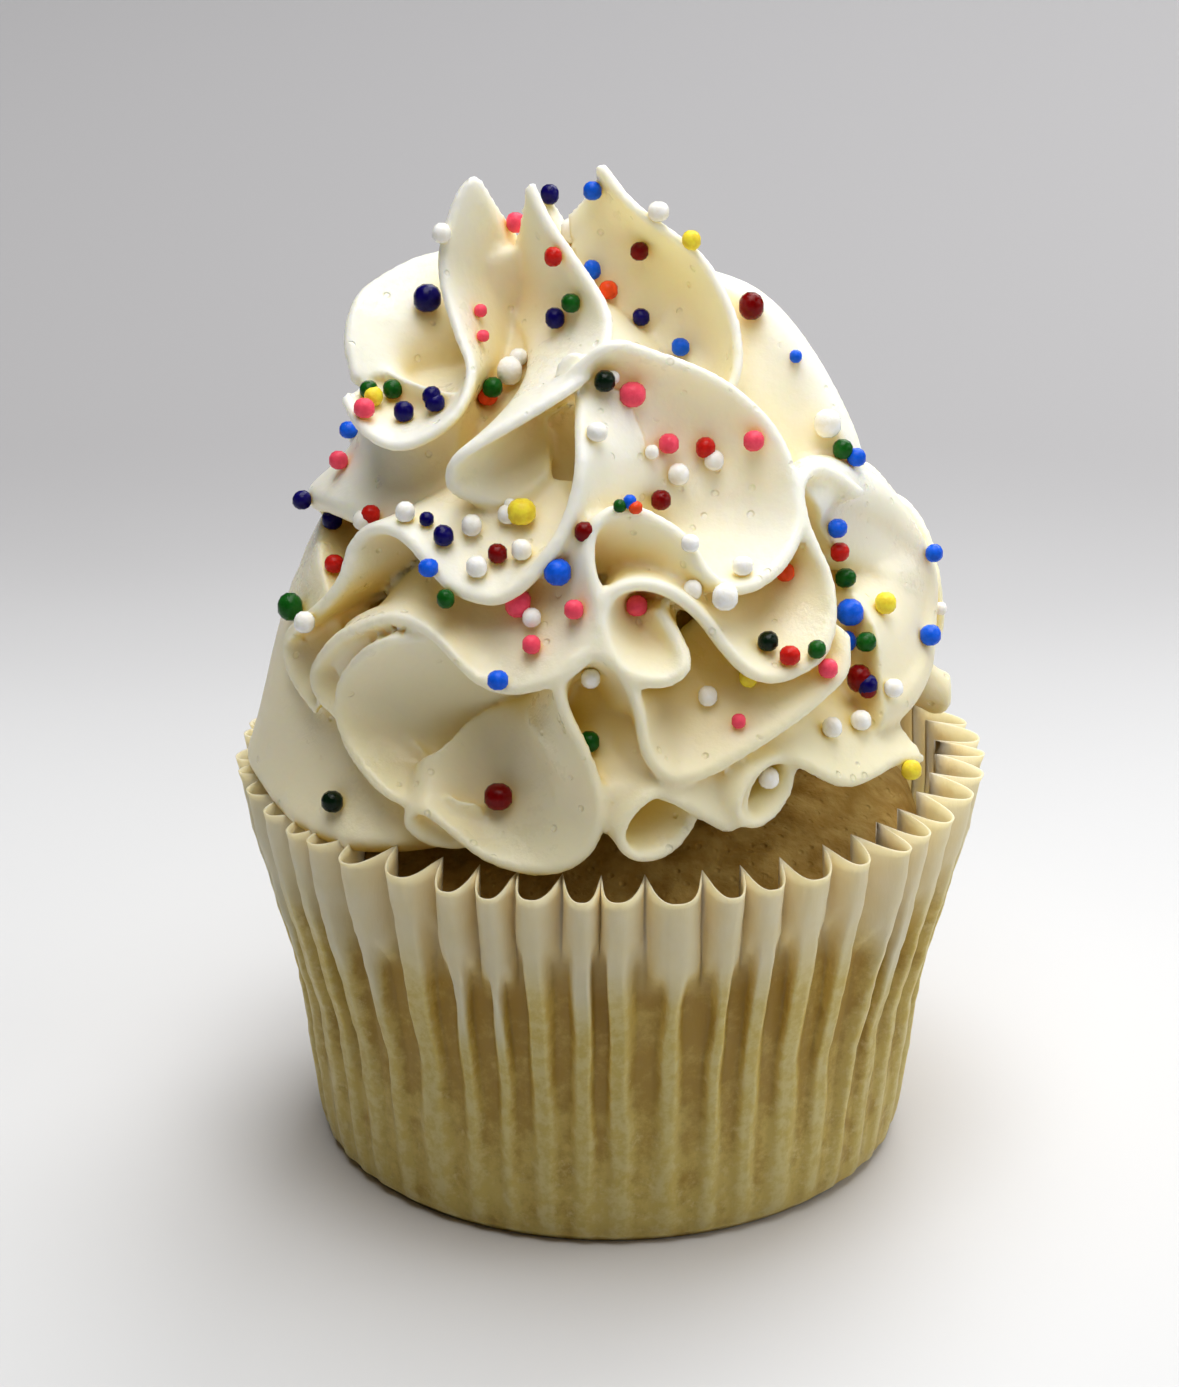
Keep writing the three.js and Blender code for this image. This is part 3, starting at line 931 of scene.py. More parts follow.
@dataclass(frozen=True)
class Buttercream:
    """Ivory buttercream: light goes a little way in, the skin is softly glossy with tiny pits, and its
    colour holds painted shade.

    Attributes:
        skin: The colour of the upper folds.
        shaded_low_skin: The colour of the lowest folds, painted darker and warmer as shade.
        warm_tone_and_shade: The colour of warmer patches, and the painted shade of places that folds shut
            in.
        deep: The painted shade deep in the creases.
        low: Below this height in mm the skin is all shaded_low_skin.
        high: Above this height in mm it is all skin.
        patch: The size of the warmer patches, in mm.
        shelter: How far off a fold still casts painted shade on a place, in mm.
        crease: How wide a crease is, in mm, for its painted shade.
        wet_patch: The size of the wetter patches, in mm.
        wet_gloss: How much less rough it is where it is wet.
        speck: The size of its dull and glossy specks, in mm.
        roughness: How rough its glossiest specks and its dullest ones are.
        pit_gap: The distance between the tiny pits, in mm.
        pit_area: The size of the areas that have pits, in mm.
        pit_depth: The pits' depth in mm.
        ripple: The size and depth of the skin's soft ripples, in mm.
        wet_ripple: The same for the fine ripples of the wetter patches.
        glow: How far the light goes in, in mm.
    """

    skin: Colour = (0.945, 0.93, 0.83, 1)
    shaded_low_skin: Colour = (0.87, 0.79, 0.56, 1)
    warm_tone_and_shade: Colour = (0.92, 0.82, 0.52, 1)
    deep: Colour = (0.89, 0.65, 0.11, 1)
    low: float = 46.0
    high: float = 66.0
    patch: float = 9.0
    shelter: float = 26.0
    crease: float = 8.0
    wet_patch: float = 8.0
    wet_gloss: float = 0.13
    speck: float = 1.2
    roughness: tuple[float, float] = (0.36, 0.5)
    pit_gap: float = 1.9
    pit_area: float = 5.0
    pit_depth: float = 0.16
    ripple: tuple[float, float] = (2.2, 0.12)
    wet_ripple: tuple[float, float] = (0.8, 0.09)
    glow: float = 2.6

    def material(self) -> bpy.types.Material:
        """Builds the material.

        Returns:
            The material, ready for a piece.
        """
        mix = Recipe("buttercream")
        wet = mix.band(mix.noise(self.wet_patch, detail=2), low=0.5, high=0.62)
        dull = mix.band(mix.noise(self.speck, detail=3), 0.3, 0.7, *self.roughness)
        colour = self.colour(mix)
        gloss = mix.combine("MULTIPLY", wet, self.wet_gloss)
        mix.set(Base_Color=colour, Roughness=mix.combine("SUBTRACT", dull, gloss),
                Subsurface_Weight=0.55, Subsurface_Radius=(1.0, 0.82, 0.45), Subsurface_Scale=self.glow * MM,
                Specular_IOR_Level=0.42, IOR=1.46, Normal=self.relief(mix, wet))
        return mix.material

    def colour(self, mix: Recipe) -> bpy.types.NodeSocket:
        """Mixes the colour: painted shade, darker and warmer low down, warmer patches, and painted shade
        where folds shelter it and deep in creases.

        Args:
            mix: The recipe to add it to.

        Returns:
            The colour.
        """
        height = mix.height()
        # Painted shade: below low the skin takes the darker, warmer shaded_low_skin.
        skin = mix.blend(mix.band(height, self.low * MM, self.high * MM), self.shaded_low_skin, self.skin)
        patches = mix.band(mix.noise(self.patch, detail=2), low=0.35, high=0.7, to_high=0.2)
        colour = mix.blend(patches, skin, self.warm_tone_and_shade)
        # Painted shade is stronger low down: lower is 1 below low and 0.45 above high.
        lower = mix.band(height, self.low * MM, self.high * MM, to_low=1.0, to_high=0.45)
        # Painted shade in the warm colour where folds shut a place in.
        shelter_shade = mix.band(mix.shut_in(self.shelter), low=0.3, high=0.8, to_low=1.0, to_high=0.0)
        colour = mix.blend(mix.combine("MULTIPLY", shelter_shade, lower), colour, self.warm_tone_and_shade)
        # Painted shade deep in the creases, a little weaker high up.
        crease_shade = mix.band(mix.shut_in(self.crease), low=0.12, high=0.66, to_low=0.95, to_high=0.0)
        strength = mix.band(lower, low=0.4, high=1.0, to_low=0.75)
        return mix.blend(mix.combine("MULTIPLY", crease_shade, strength), colour, self.deep)

    def relief(self, mix: Recipe, wet: bpy.types.NodeSocket) -> bpy.types.NodeSocket:
        """Adds soft ripples, finer ones where the skin is wet, and tiny pits here and there.

        Args:
            mix: The recipe to add them to.
            wet: How wet the skin is, from 0 to 1.

        Returns:
            The bent normal.
        """
        soft = mix.bump(mix.noise(self.ripple[0], detail=4), self.ripple[1])
        fine = mix.combine("MULTIPLY", mix.noise(self.wet_ripple[0], detail=3, roughness=0.7), wet)
        fine = mix.bump(fine, self.wet_ripple[1], under=soft)
        pitted = mix.band(mix.noise(self.pit_area, detail=1), low=0.5, high=0.56)
        pits = mix.band(mix.cells(self.pit_gap), low=0.1, high=0.2)
        pits = mix.combine("MAXIMUM", pits, mix.combine("SUBTRACT", 1.0, pitted))
        return mix.bump(pits, self.pit_depth, under=fine)


@dataclass(frozen=True)
class GreaseproofPaper:
    """White greaseproof paper that has gone brown and clear where the sponge's fat has soaked it.

    Attributes:
        dry: The colour of dry paper.
        damp: The colour of dry paper next to the soaked part.
        soaked: The colour of soaked paper that touches the sponge.
        stain: The darker colour of its grooves.
        clear: The paler colour where it stands off the sponge.
        line: The height in mm up to which it is soaked.
        blur: How far the soaked part fades to either side of that line, in mm.
        wander: How far the line goes up and down, in mm.
        swing: The size of those ups and downs, in mm.
        sink: How much lower the line lies in a groove, in mm.
        cloud: The size of the clearer clouds in dry paper, in mm.
        blotch: The size of the soaked part's dark blotches, in mm.
        blotching: How strongly they show.
        loose_spot: The size of the spots that stand off the sponge, in mm.
        held: How much less of them there is in a groove.
        streak: The size of its dull and glossy streaks, in mm.
        fibre: The size of its fibres, in mm.
        fibre_depth: How deep their relief is, in mm.
        glow: How far the light goes in, in mm.
    """

    dry: Colour = (0.87, 0.70, 0.42, 1)
    damp: Colour = (0.87, 0.67, 0.31, 1)
    soaked: Colour = (0.68, 0.44, 0.105, 1)
    stain: Colour = (0.385, 0.215, 0.027, 1)
    clear: Colour = (0.81, 0.59, 0.235, 1)
    line: float = SOAK_LINE
    blur: float = 3.2
    wander: float = 4.0
    swing: float = 5.0
    sink: float = 0.6
    cloud: float = 3.0
    blotch: float = 3.0
    blotching: float = 2.8
    loose_spot: float = 1.3
    held: float = 0.3
    streak: float = 1.4
    fibre: float = 0.5
    fibre_depth: float = 0.04
    glow: float = 1.6

    def material(self) -> bpy.types.Material:
        """Builds the material.

        Returns:
            The material, ready for a piece.
        """
        mix = Recipe("greaseproof_paper")
        groove = mix.attribute("groove")
        level = self.level(mix, groove)
        wet = self.below(mix, level, self.blur)
        clouds = mix.band(mix.noise(self.cloud, detail=5), low=0.3, high=0.7, to_high=0.3)
        dry = mix.blend(clouds, self.dry, self.clear)
        dry = mix.blend(self.below(mix, level, 2 * self.blur), dry, self.damp)
        streaks = mix.noise(self.streak, detail=4, place=mix.stretched(across=1.0, along_height=0.3))
        fibres = mix.noise(self.fibre, detail=4, place=mix.stretched(across=1.0, along_height=0.25))
        fibres = mix.bump(fibres, self.fibre_depth)
        mix.set(Base_Color=mix.blend(wet, dry, self.soaked_colour(mix, groove)),
                Roughness=mix.band(streaks, low=0.3, high=0.7, to_low=0.42, to_high=0.6),
                Subsurface_Weight=0.7, Subsurface_Radius=(1.0, 0.82, 0.55), Subsurface_Scale=self.glow * MM,
                Specular_IOR_Level=0.35, Normal=fibres)
        return mix.material

    def level(self, mix: Recipe, groove: bpy.types.NodeSocket) -> bpy.types.NodeSocket:
        """Works out each place's height as the fat meets it, higher on dry tongues and lower in grooves.

        Args:
            mix: The recipe to add it to.
            groove: How far a place lies in a groove.

        Returns:
            The height in metres.
        """
        wander = mix.combine("MULTIPLY", mix.noise(self.swing, detail=3), self.wander * MM)
        wander = mix.combine("ADD", wander, mix.combine("MULTIPLY", mix.attribute("tongue"), MM))
        sunk = mix.combine("MULTIPLY", groove, self.sink * MM)
        return mix.combine("ADD", mix.height(), mix.combine("SUBTRACT", wander, sunk))

    def below(self, mix: Recipe, level: bpy.types.NodeSocket, blur: float) -> bpy.types.NodeSocket:
        """Tells how far a place lies below the soaked part's line, with a blur in mm to either side."""
        line, blur = self.line * MM, blur * MM
        return mix.band(level, line - blur, line + blur, to_low=1.0, to_high=0.0)

    def soaked_colour(self, mix: Recipe, groove: bpy.types.NodeSocket) -> bpy.types.NodeSocket:
        """Mixes the colour of the soaked part, darker in grooves and blotches, paler where it stands off.

        Args:
            mix: The recipe to add it to.
            groove: How far a place lies in a groove.

        Returns:
            The colour.
        """
        blotches = mix.noise(self.blotch, detail=6, roughness=0.7)
        blotches = mix.combine("SUBTRACT", blotches, MIDDLE_NOISE)
        touching = mix.combine("ADD", groove, mix.combine("MULTIPLY", blotches, self.blotching))
        soaked = mix.blend(mix.band(touching, low=0.2, high=1.1, to_high=0.85), self.soaked, self.stain)
        spots = mix.noise(self.loose_spot, detail=5, roughness=0.7)
        loose = mix.combine("SUBTRACT", spots, mix.combine("MULTIPLY", groove, self.held))
        return mix.blend(mix.band(loose, low=0.36, high=0.62, to_high=0.75), soaked, self.clear)


@dataclass(frozen=True)
class SpongeCrumb:
    """Baked vanilla sponge with a browned, finely pored crust.

    Attributes:
        crust: The colour of its browned patches.
        crumb: The colour of its paler ones.
        patch: The size of the patches, in mm.
        pore_gap: The distance between its pores, in mm.
        pore_depth: The pores' depth in mm.
        grain: The size and depth of its grain, in mm.
        glow: How far the light goes in, in mm.
    """

    crust: Colour = (0.37, 0.22, 0.042, 1)
    crumb: Colour = (0.53, 0.36, 0.105, 1)
    patch: float = 2.5
    pore_gap: float = 1.1
    pore_depth: float = 0.12
    grain: tuple[float, float] = (1.0, 0.3)
    glow: float = 1.0

    def material(self) -> bpy.types.Material:
        """Builds the material.

        Returns:
            The material, ready for a piece.
        """
        mix = Recipe("sponge_crumb")
        patches = mix.band(mix.noise(self.patch, detail=5), low=0.35, high=0.68)
        colour = mix.blend(patches, self.crust, self.crumb)
        pores = mix.band(mix.cells(self.pore_gap), low=0.08, high=0.32)
        relief = mix.bump(mix.noise(self.grain[0], detail=5), self.grain[1])
        relief = mix.bump(pores, self.pore_depth, under=relief)
        mix.set(Base_Color=colour, Roughness=0.8, Specular_IOR_Level=0.25, Subsurface_Weight=0.1,
                Subsurface_Radius=(1.0, 0.6, 0.3), Subsurface_Scale=self.glow * MM, Normal=relief)
        return mix.material


@dataclass(frozen=True)
class SugarShell:
    """The coloured sugar shell of a pearl, a little uneven in colour and gloss.

    Attributes:
        name: What the finish is called.
        colour: Its colour.
        paler: How much brighter its pale clouds are: a factor, and what is added.
        cloud: The size of those clouds, in mm.
        speck: The size of its dull and glossy specks, in mm.
        roughness: How rough its glossiest specks and its dullest ones are.
        grain: The size and depth of its grain, in mm.
        glow: How far the light goes in, in mm.
    """

    name: str
    colour: Colour
    paler: tuple[float, float] = (1.3, 0.003)
    cloud: float = 0.7
    speck: float = 0.5
    roughness: tuple[float, float] = (0.12, 0.26)
    grain: tuple[float, float] = (0.35, 0.06)
    glow: float = 0.5

    def material(self) -> bpy.types.Material:
        """Builds the material.

        Returns:
            The material, ready for a piece.
        """
        mix = Recipe(self.name)
        factor, more = self.paler
        pale = tuple(min(1.0, part * factor + more) for part in self.colour[:3]) + (1,)
        clouds = mix.band(mix.noise(self.cloud, detail=3), low=0.35, high=0.7)
        colour = mix.blend(clouds, self.colour, pale)
        dull = mix.band(mix.noise(self.speck, detail=2), 0.3, 0.7, *self.roughness)
        relief = mix.bump(mix.noise(self.grain[0], detail=3), self.grain[1])
        mix.set(Base_Color=colour, Roughness=dull, Specular_IOR_Level=0.14, Subsurface_Weight=0.08,
                Subsurface_Radius=(1.0, 0.6, 0.4), Subsurface_Scale=self.glow * MM, Normal=relief)
        return mix.material


@dataclass(frozen=True)
class Tabletop:
    """A smooth pale table with painted shade: it falls away to grey behind the cake, where less light
    reaches, and a little close to the camera, as a painted shadow.

    Attributes:
        near: Its colour round the cake.
        far: Its colour behind the cake, painted grey as shade.
        shade: The painted shadow that it goes towards in front.
        turn: Between which places, in metres back from the cake, it goes from near to far.
        front: Between which places it goes from the shade to near.
        front_share: The share of the shade in front.
        cloud: The size of the clouds that blur these places, in mm.
        wander: How far they move them, in metres.
    """

    near: Colour = (0.602, 0.607, 0.618, 1)
    far: Colour = (0.325, 0.32, 0.328, 1)
    shade: Colour = (0.1, 0.09, 0.08, 1)
    turn: tuple[float, float] = (0.03, 0.21)
    front: tuple[float, float] = (-0.10, -0.02)
    front_share: float = 0.03
    cloud: float = 60.0
    wander: float = 0.02

    def material(self) -> bpy.types.Material:
        """Builds the material.

        Returns:
            The material, ready for a piece.
        """
        mix = Recipe("tabletop")
        back = mix.part("Y")
        wander = mix.combine("MULTIPLY", mix.noise(self.cloud, detail=1), self.wander)
        depth = mix.combine("ADD", back, wander)
        # Painted shade: the table greys behind the cake, where less light reaches.
        colour = mix.blend(mix.band(depth, *self.turn), self.near, self.far)
        # Painted shadow: a little darker close to the camera.
        shaded = mix.band(depth, *self.front, to_low=self.front_share, to_high=0.0)
        colour = mix.blend(shaded, colour, self.shade)
        mix.set(Base_Color=colour, Roughness=0.62, Specular_IOR_Level=0.25)
        return mix.material


# ------------------------------------------------------------------ the paper case and the sponge


def ring_tower(name: str, sides: int, profile: tuple[tuple[float, float], ...],
               close_top: bool) -> bpy.types.Object:
    """Draws a round piece out of a small circle, ring by ring.

    Args:
        name: What the piece is called.
        sides: The number of corners round it.
        profile: Radius and height of each ring, in mm.
        close_top: Whether the last ring is closed with a face, as the first one is.

    Returns:
        The piece, faces outwards.
    """
    radius, height = profile[0]
    bpy.ops.object.select_all(action="DESELECT")
    bpy.ops.mesh.primitive_circle_add(vertices=sides, radius=radius * MM, location=(0, 0, height * MM))
    piece = bpy.context.object
    piece.name = name
    piece.data.name = name
    bpy.ops.object.transform_apply(location=True, rotation=True, scale=True)
    bpy.ops.object.mode_set(mode="EDIT")
    bpy.ops.mesh.select_all(action="SELECT")
    for wider, higher in profile[1:]:
        bpy.ops.mesh.extrude_edges_move()
        bpy.ops.transform.resize(value=(wider / radius, wider / radius, 1), center_override=(0, 0, 0))
        bpy.ops.transform.translate(value=(0, 0, (higher - height) * MM))
        radius, height = wider, higher
    if close_top:
        bpy.ops.mesh.edge_face_add()
    bpy.ops.mesh.select_all(action="DESELECT")
    bpy.ops.object.mode_set(mode="OBJECT")
    for corner in piece.data.vertices[:sides]:
        corner.select = True
    bpy.ops.object.mode_set(mode="EDIT")
    bpy.ops.mesh.select_mode(type="VERT")
    bpy.ops.mesh.edge_face_add()
    bpy.ops.mesh.select_all(action="SELECT")
    bpy.ops.mesh.normals_make_consistent(inside=False)
    bpy.ops.object.mode_set(mode="OBJECT")
    return piece


NUDGE = 1e-6
"""A share of a turn, which keeps a corner that lies between two pleats with the later one."""


def ease(value: np.ndarray | float, low: np.ndarray | float, high: np.ndarray | float) -> np.ndarray:
    """Rises smoothly.

    Args:
        value: The value to read at.
        low: Where the rise starts.
        high: Where it ends.

    Returns:
        0 before the start, 1 past the end.
    """
    share = np.clip((np.asarray(value) - low) / (np.asarray(high) - low), 0, 1)
    return share * share * (3 - 2 * share)


@dataclass(frozen=True)
class Pleats:
    """How the pleats differ, with one value for each pleat or, once dealt out, for each corner.

    Attributes:
        start: Where the pleat starts, in radians.
        width: How wide it is, in radians.
        lean: How far its ridge leans to one side, as a share of its width.
        pinch: How its ridge narrows and widens, from -1 to 1.
        tongue: How far its dry part runs down the ridge, in mm.
    """

    start: np.ndarray
    width: np.ndarray
    lean: np.ndarray
    pinch: np.ndarray
    tongue: np.ndarray

    def dealt(self, owner: np.ndarray) -> Pleats:
        """Deals the values out to corners, each owned by the pleat of that number."""
        return Pleats(self.start[owner], self.width[owner], self.lean[owner], self.pinch[owner],
                      self.tongue[owner])


@dataclass(frozen=True)
class Swelling:
    """A stretch where a pleat's ridge is wider or narrower than elsewhere.

    Attributes:
        level: How far up the soaked part its middle lies, from 0 to 1.
        wander: How much lower it lies on a pleat whose pinch is 1, in mm.
        tall: How tall it is, in mm.
        gain: How much it widens the ridge, as a share of half the pleat.
        shows: The pinch at which it starts to show and the one at which it shows fully.
    """

    level: float
    wander: float
    tall: float
    gain: float
    shows: tuple[float, float]

    def widening(self, height: np.ndarray, pinch: np.ndarray) -> np.ndarray:
        """Works out how much it widens the ridge at each corner, as a share of half the pleat."""
        middle = SOAK_LINE * self.level - self.wander * pinch
        return self.gain * np.exp(-((height - middle) / self.tall) ** 2) * ease(pinch, *self.shows)


@dataclass
class PaperCase:
    """The pleated case: a flat disc of paper gathered into folds that open towards the rim.

    Attributes:
        node: The plain node that it stands for.
        pleats: The number of pleats.
        steps: The number of corners across a pleat.
        base_inset: How far inside the rim the flat base ends, in mm.
        base_rings: The radii of the rings in the base, in mm.
        foot_rings: The heights of the close rings where the wall turns up, in mm.
        rim_height: The rim's middle height, in mm.
        ring_gap: The distance between the wall's rings, in mm.
        thickness: The paper's thickness in mm.
        uneven: How much narrower and wider than the others a pleat may be, as a share.
        most_lean: The most that a ridge leans, as a share of its pleat.
        tongues: The length of the dry tongues in mm; one below 0 is left out.
        ridge: How far inside the rim's radius the ridges lie at each height, in mm.
        groove: How far inside it the grooves lie.
        half: Half the width of a ridge, as a share of half the pleat, and how much a pinch adds.
        soft: How softly a ridge falls off at the foot, and how much less so further up.
        firming: How far from either end of the soaked part a ridge stops growing firmer, in mm.
        neck: How far a pinch moves the height where the ridges open, and how tall that stretch is, in mm.
        arch: How round an open pleat is: the power across it and the power of its fall.
        swellings: The bulges and waists of the ridges.
        ripples: The depth of the slow and the quick ripples that run up a ridge, in mm.
        ripple_rates: How fast they follow one another, in radians for each mm.
        ripple_shifts: How far a pinch shifts the slow ones and a lean the quick ones, in radians.
        leaner: How much further out a ridge stands for its lean, in mm.
        growing: Between which heights the ripples grow to their full depth, in mm.
        leaning: Between which heights a ridge comes to lean, in mm.
        sway: How far a pleat sways, as a share of its width, how fast, and how far a pinch shifts it.
        scallop: How much the rim rises at a groove and drops at a ridge, and what a pinch adds, in mm.
        fading: How deep a groove counts at the foot for the paper's finish, and how much more further up.
        fading_heights: Between which heights it comes to count fully, in mm.
        base_groove: How deep a groove the flat base counts as.
        wall_margin: How far inside the wall's foot a corner still counts as the wall's, in mm.
        rim_margin: How far below the rim a corner still counts as the rim's, in mm.
        seed: The seed for how the pleats differ.
        finish: The paper's finish.
    """

    node: str = "paper_case"
    pleats: int = 46
    steps: int = 20
    base_inset: float = 7.9
    base_rings: tuple[float, ...] = (2, 8, 14, 20)
    foot_rings: tuple[float, ...] = (0.35, 0.8)
    rim_height: float = CASE.top - 0.35
    ring_gap: float = 1.1
    thickness: float = 0.16
    uneven: tuple[float, float] = (-0.22, 0.26)
    most_lean: float = 0.22
    tongues: tuple[float, float] = (-9, 10.0)
    ridge: tuple[tuple[float, float], ...] = (
        (0, 7.9), (1.2, 6.5), (4, 6.0), (10, 5.3), (16, 4.6), (21, 3.3), (26, 2.0), (31, 0.7), (36, -0.2))
    groove: tuple[tuple[float, float], ...] = (
        (0, 7.9), (1.2, 6.7), (4, 6.3), (10, 5.9), (16, 5.5), (21, 4.6), (26, 3.9), (31, 3.8), (36, 4.0))
    half: tuple[float, float] = (0.46, 0.09)
    soft: tuple[float, float] = (0.34, 0.18)
    firming: float = 4.0
    neck: tuple[float, float] = (2.2, 1.9)
    arch: tuple[float, float] = (2.6, 0.8)
    swellings: tuple[Swelling, ...] = (Swelling(0.5, 7, 2.4, 0.16, (-0.2, 0.8)),
                                       Swelling(0.72, 4, 2.6, -0.12, (0.4, -0.6)))
    ripples: tuple[float, float] = (0.05, 0.04)
    ripple_rates: tuple[float, float] = (0.9, 2.3)
    ripple_shifts: tuple[float, float] = (9.0, 5.0)
    leaner: float = 0.5
    growing: tuple[float, float] = (1, 12)
    leaning: tuple[float, float] = (2, 32)
    sway: tuple[float, float, float] = (0.02, 0.5, 7.0)
    scallop: tuple[float, float, float] = (0.5, 0.3, 0.25)
    fading: tuple[float, float] = (0.45, 0.55)
    fading_heights: tuple[float, float] = (3, 20)
    base_groove: float = 0.5
    wall_margin: float = 0.5
    rim_margin: float = 0.1
    seed: int = 46
    finish: GreaseproofPaper = field(default_factory=GreaseproofPaper)

    def profile(self) -> tuple[tuple[float, float], ...]:
        """Lists the plain wall's rings from the middle of the base to the rim.

        Returns:
            Each ring's radius and height, in mm.
        """
        last = CASE.radius - self.base_inset - self.foot_rings[-1]
        floor = [(radius, 0.0) for radius in self.base_rings + (last,)]
        count = round(self.rim_height / self.ring_gap)
        heights = [0.0, *self.foot_rings] + [self.rim_height * step / count for step in range(1, count + 1)]
        return tuple(floor + [(CASE.radius - along(self.groove, height), height) for height in heights])

    def pleat_table(self) -> Pleats:
        """Draws how each pleat differs from the others.

        Returns:
            One value of each kind for each pleat.
        """
        dice = random.Random(self.seed)
        widths = np.array([1 + dice.uniform(*self.uneven) for _ in range(self.pleats)])
        widths *= 2 * math.pi / widths.sum()
        starts = np.concatenate([[0], np.cumsum(widths)[:-1]])
        leans = np.array([dice.uniform(-self.most_lean, self.most_lean) for _ in range(self.pleats)])
        pinches = np.array([dice.uniform(-1.0, 1.0) for _ in range(self.pleats)])
        tongues = np.array([max(0.0, dice.uniform(*self.tongues)) for _ in range(self.pleats)])
        return Pleats(starts, widths, leans, pinches, tongues)

    def rise_of(self, across: np.ndarray, height: np.ndarray, pinch: np.ndarray) -> np.ndarray:
        """Works out how far each corner stands out from its pleat's groove.

        Args:
            across: How far the corner lies from its pleat's middle, from 0 to 1.
            height: Its height in mm.
            pinch: Its pleat's pinch, from -1 to 1.

        Returns:
            1 on the ridge and 0 in the groove.
        """
        neck = SOAK_LINE + self.neck[0] * pinch
        opening = ease(height, neck - self.neck[1], neck + self.neck[1])
        half = self.half[0] + self.half[1] * pinch
        for swelling in self.swellings:
            half = half + swelling.widening(height, pinch)
        soft = self.soft[0] - self.soft[1] * ease(height, self.firming, SOAK_LINE - self.firming)
        stripe = 1 - ease(across, half - soft, half + soft)
        arch = (1 - across ** self.arch[0]) ** self.arch[1]
        return stripe + (arch - stripe) * opening

    def gather(self, piece: bpy.types.Object) -> None:
        """Moves the plain wall's corners into pleats and marks how far each lies in a groove.

        Args:
            piece: The plain wall with its base.
        """
        place = corners_of(piece)
        height = place[:, 2]
        plain = np.hypot(place[:, 0], place[:, 1])
        turn = np.mod(np.arctan2(place[:, 1], place[:, 0]) / (2 * math.pi) + NUDGE, 1) * self.pleats
        share = turn - np.floor(turn)
        own = self.pleat_table().dealt(np.floor(turn).astype(int) % self.pleats)
        rise = self.rise_of(np.abs(2 * share - 1), height, own.pinch)
        inner = CASE.radius - along(self.groove, height)
        further = (self.ripple(height, own) + self.leaner * own.lean) * ease(height, *self.growing)
        outer = CASE.radius - along(self.ridge, height) + further
        on_wall = plain > CASE.radius - self.base_inset - self.wall_margin
        radius = np.where(on_wall, inner + (outer - inner) * rise, plain)
        swing, rate, shift = self.sway
        sway = swing * np.sin(height * rate + shift * own.pinch)
        lean = own.lean * ease(height, *self.leaning) * rise + sway
        angle = own.start + (share + np.where(on_wall, lean, 0)) * own.width
        up, down, pinched = self.scallop
        scallop = up * (1 - rise) - down * rise + pinched * own.pinch * rise
        height = height + np.where(height > self.rim_height - self.rim_margin, scallop, 0)
        set_corners(piece, np.stack([radius * np.cos(angle), radius * np.sin(angle), height], axis=1))
        fading = self.fading[0] + self.fading[1] * ease(height, *self.fading_heights)
        self.mark(piece, "groove", np.where(on_wall, (1 - rise) * fading, self.base_groove))
        self.mark(piece, "tongue", np.where(on_wall, own.tongue * rise ** 2, 0))

    def ripple(self, height: np.ndarray, own: Pleats) -> np.ndarray:
        """Works out the ripples that run up a ridge.

        Args:
            height: The corners' heights in mm.
            own: Their pleats' values.

        Returns:
            How far out each corner is moved, in mm.
        """
        slow, quick = self.ripples
        slow_rate, quick_rate = self.ripple_rates
        pinch_shift, lean_shift = self.ripple_shifts
        slow_ripple = slow * np.sin(height * slow_rate + pinch_shift * own.pinch)
        return slow_ripple + quick * np.sin(height * quick_rate + lean_shift * own.lean)

    @staticmethod
    def mark(piece: bpy.types.Object, name: str, values: np.ndarray) -> None:
        """Writes a mark on each corner of a piece."""
        layer = piece.data.attributes.new(name, "FLOAT", "POINT")
        layer.data.foreach_set("value", values.astype(np.float32))

    def build(self) -> bpy.types.Object:
        """Builds and dresses the case.

        Returns:
            The case.
        """
        piece = ring_tower("pleated_case", self.pleats * self.steps, self.profile(), close_top=False)
        self.gather(piece)
        apply_modifier(piece, "SOLIDIFY", thickness=self.thickness * MM, offset=-1.0)
        shade_smooth(piece)
        piece.data.materials.append(self.finish.material())
        return piece


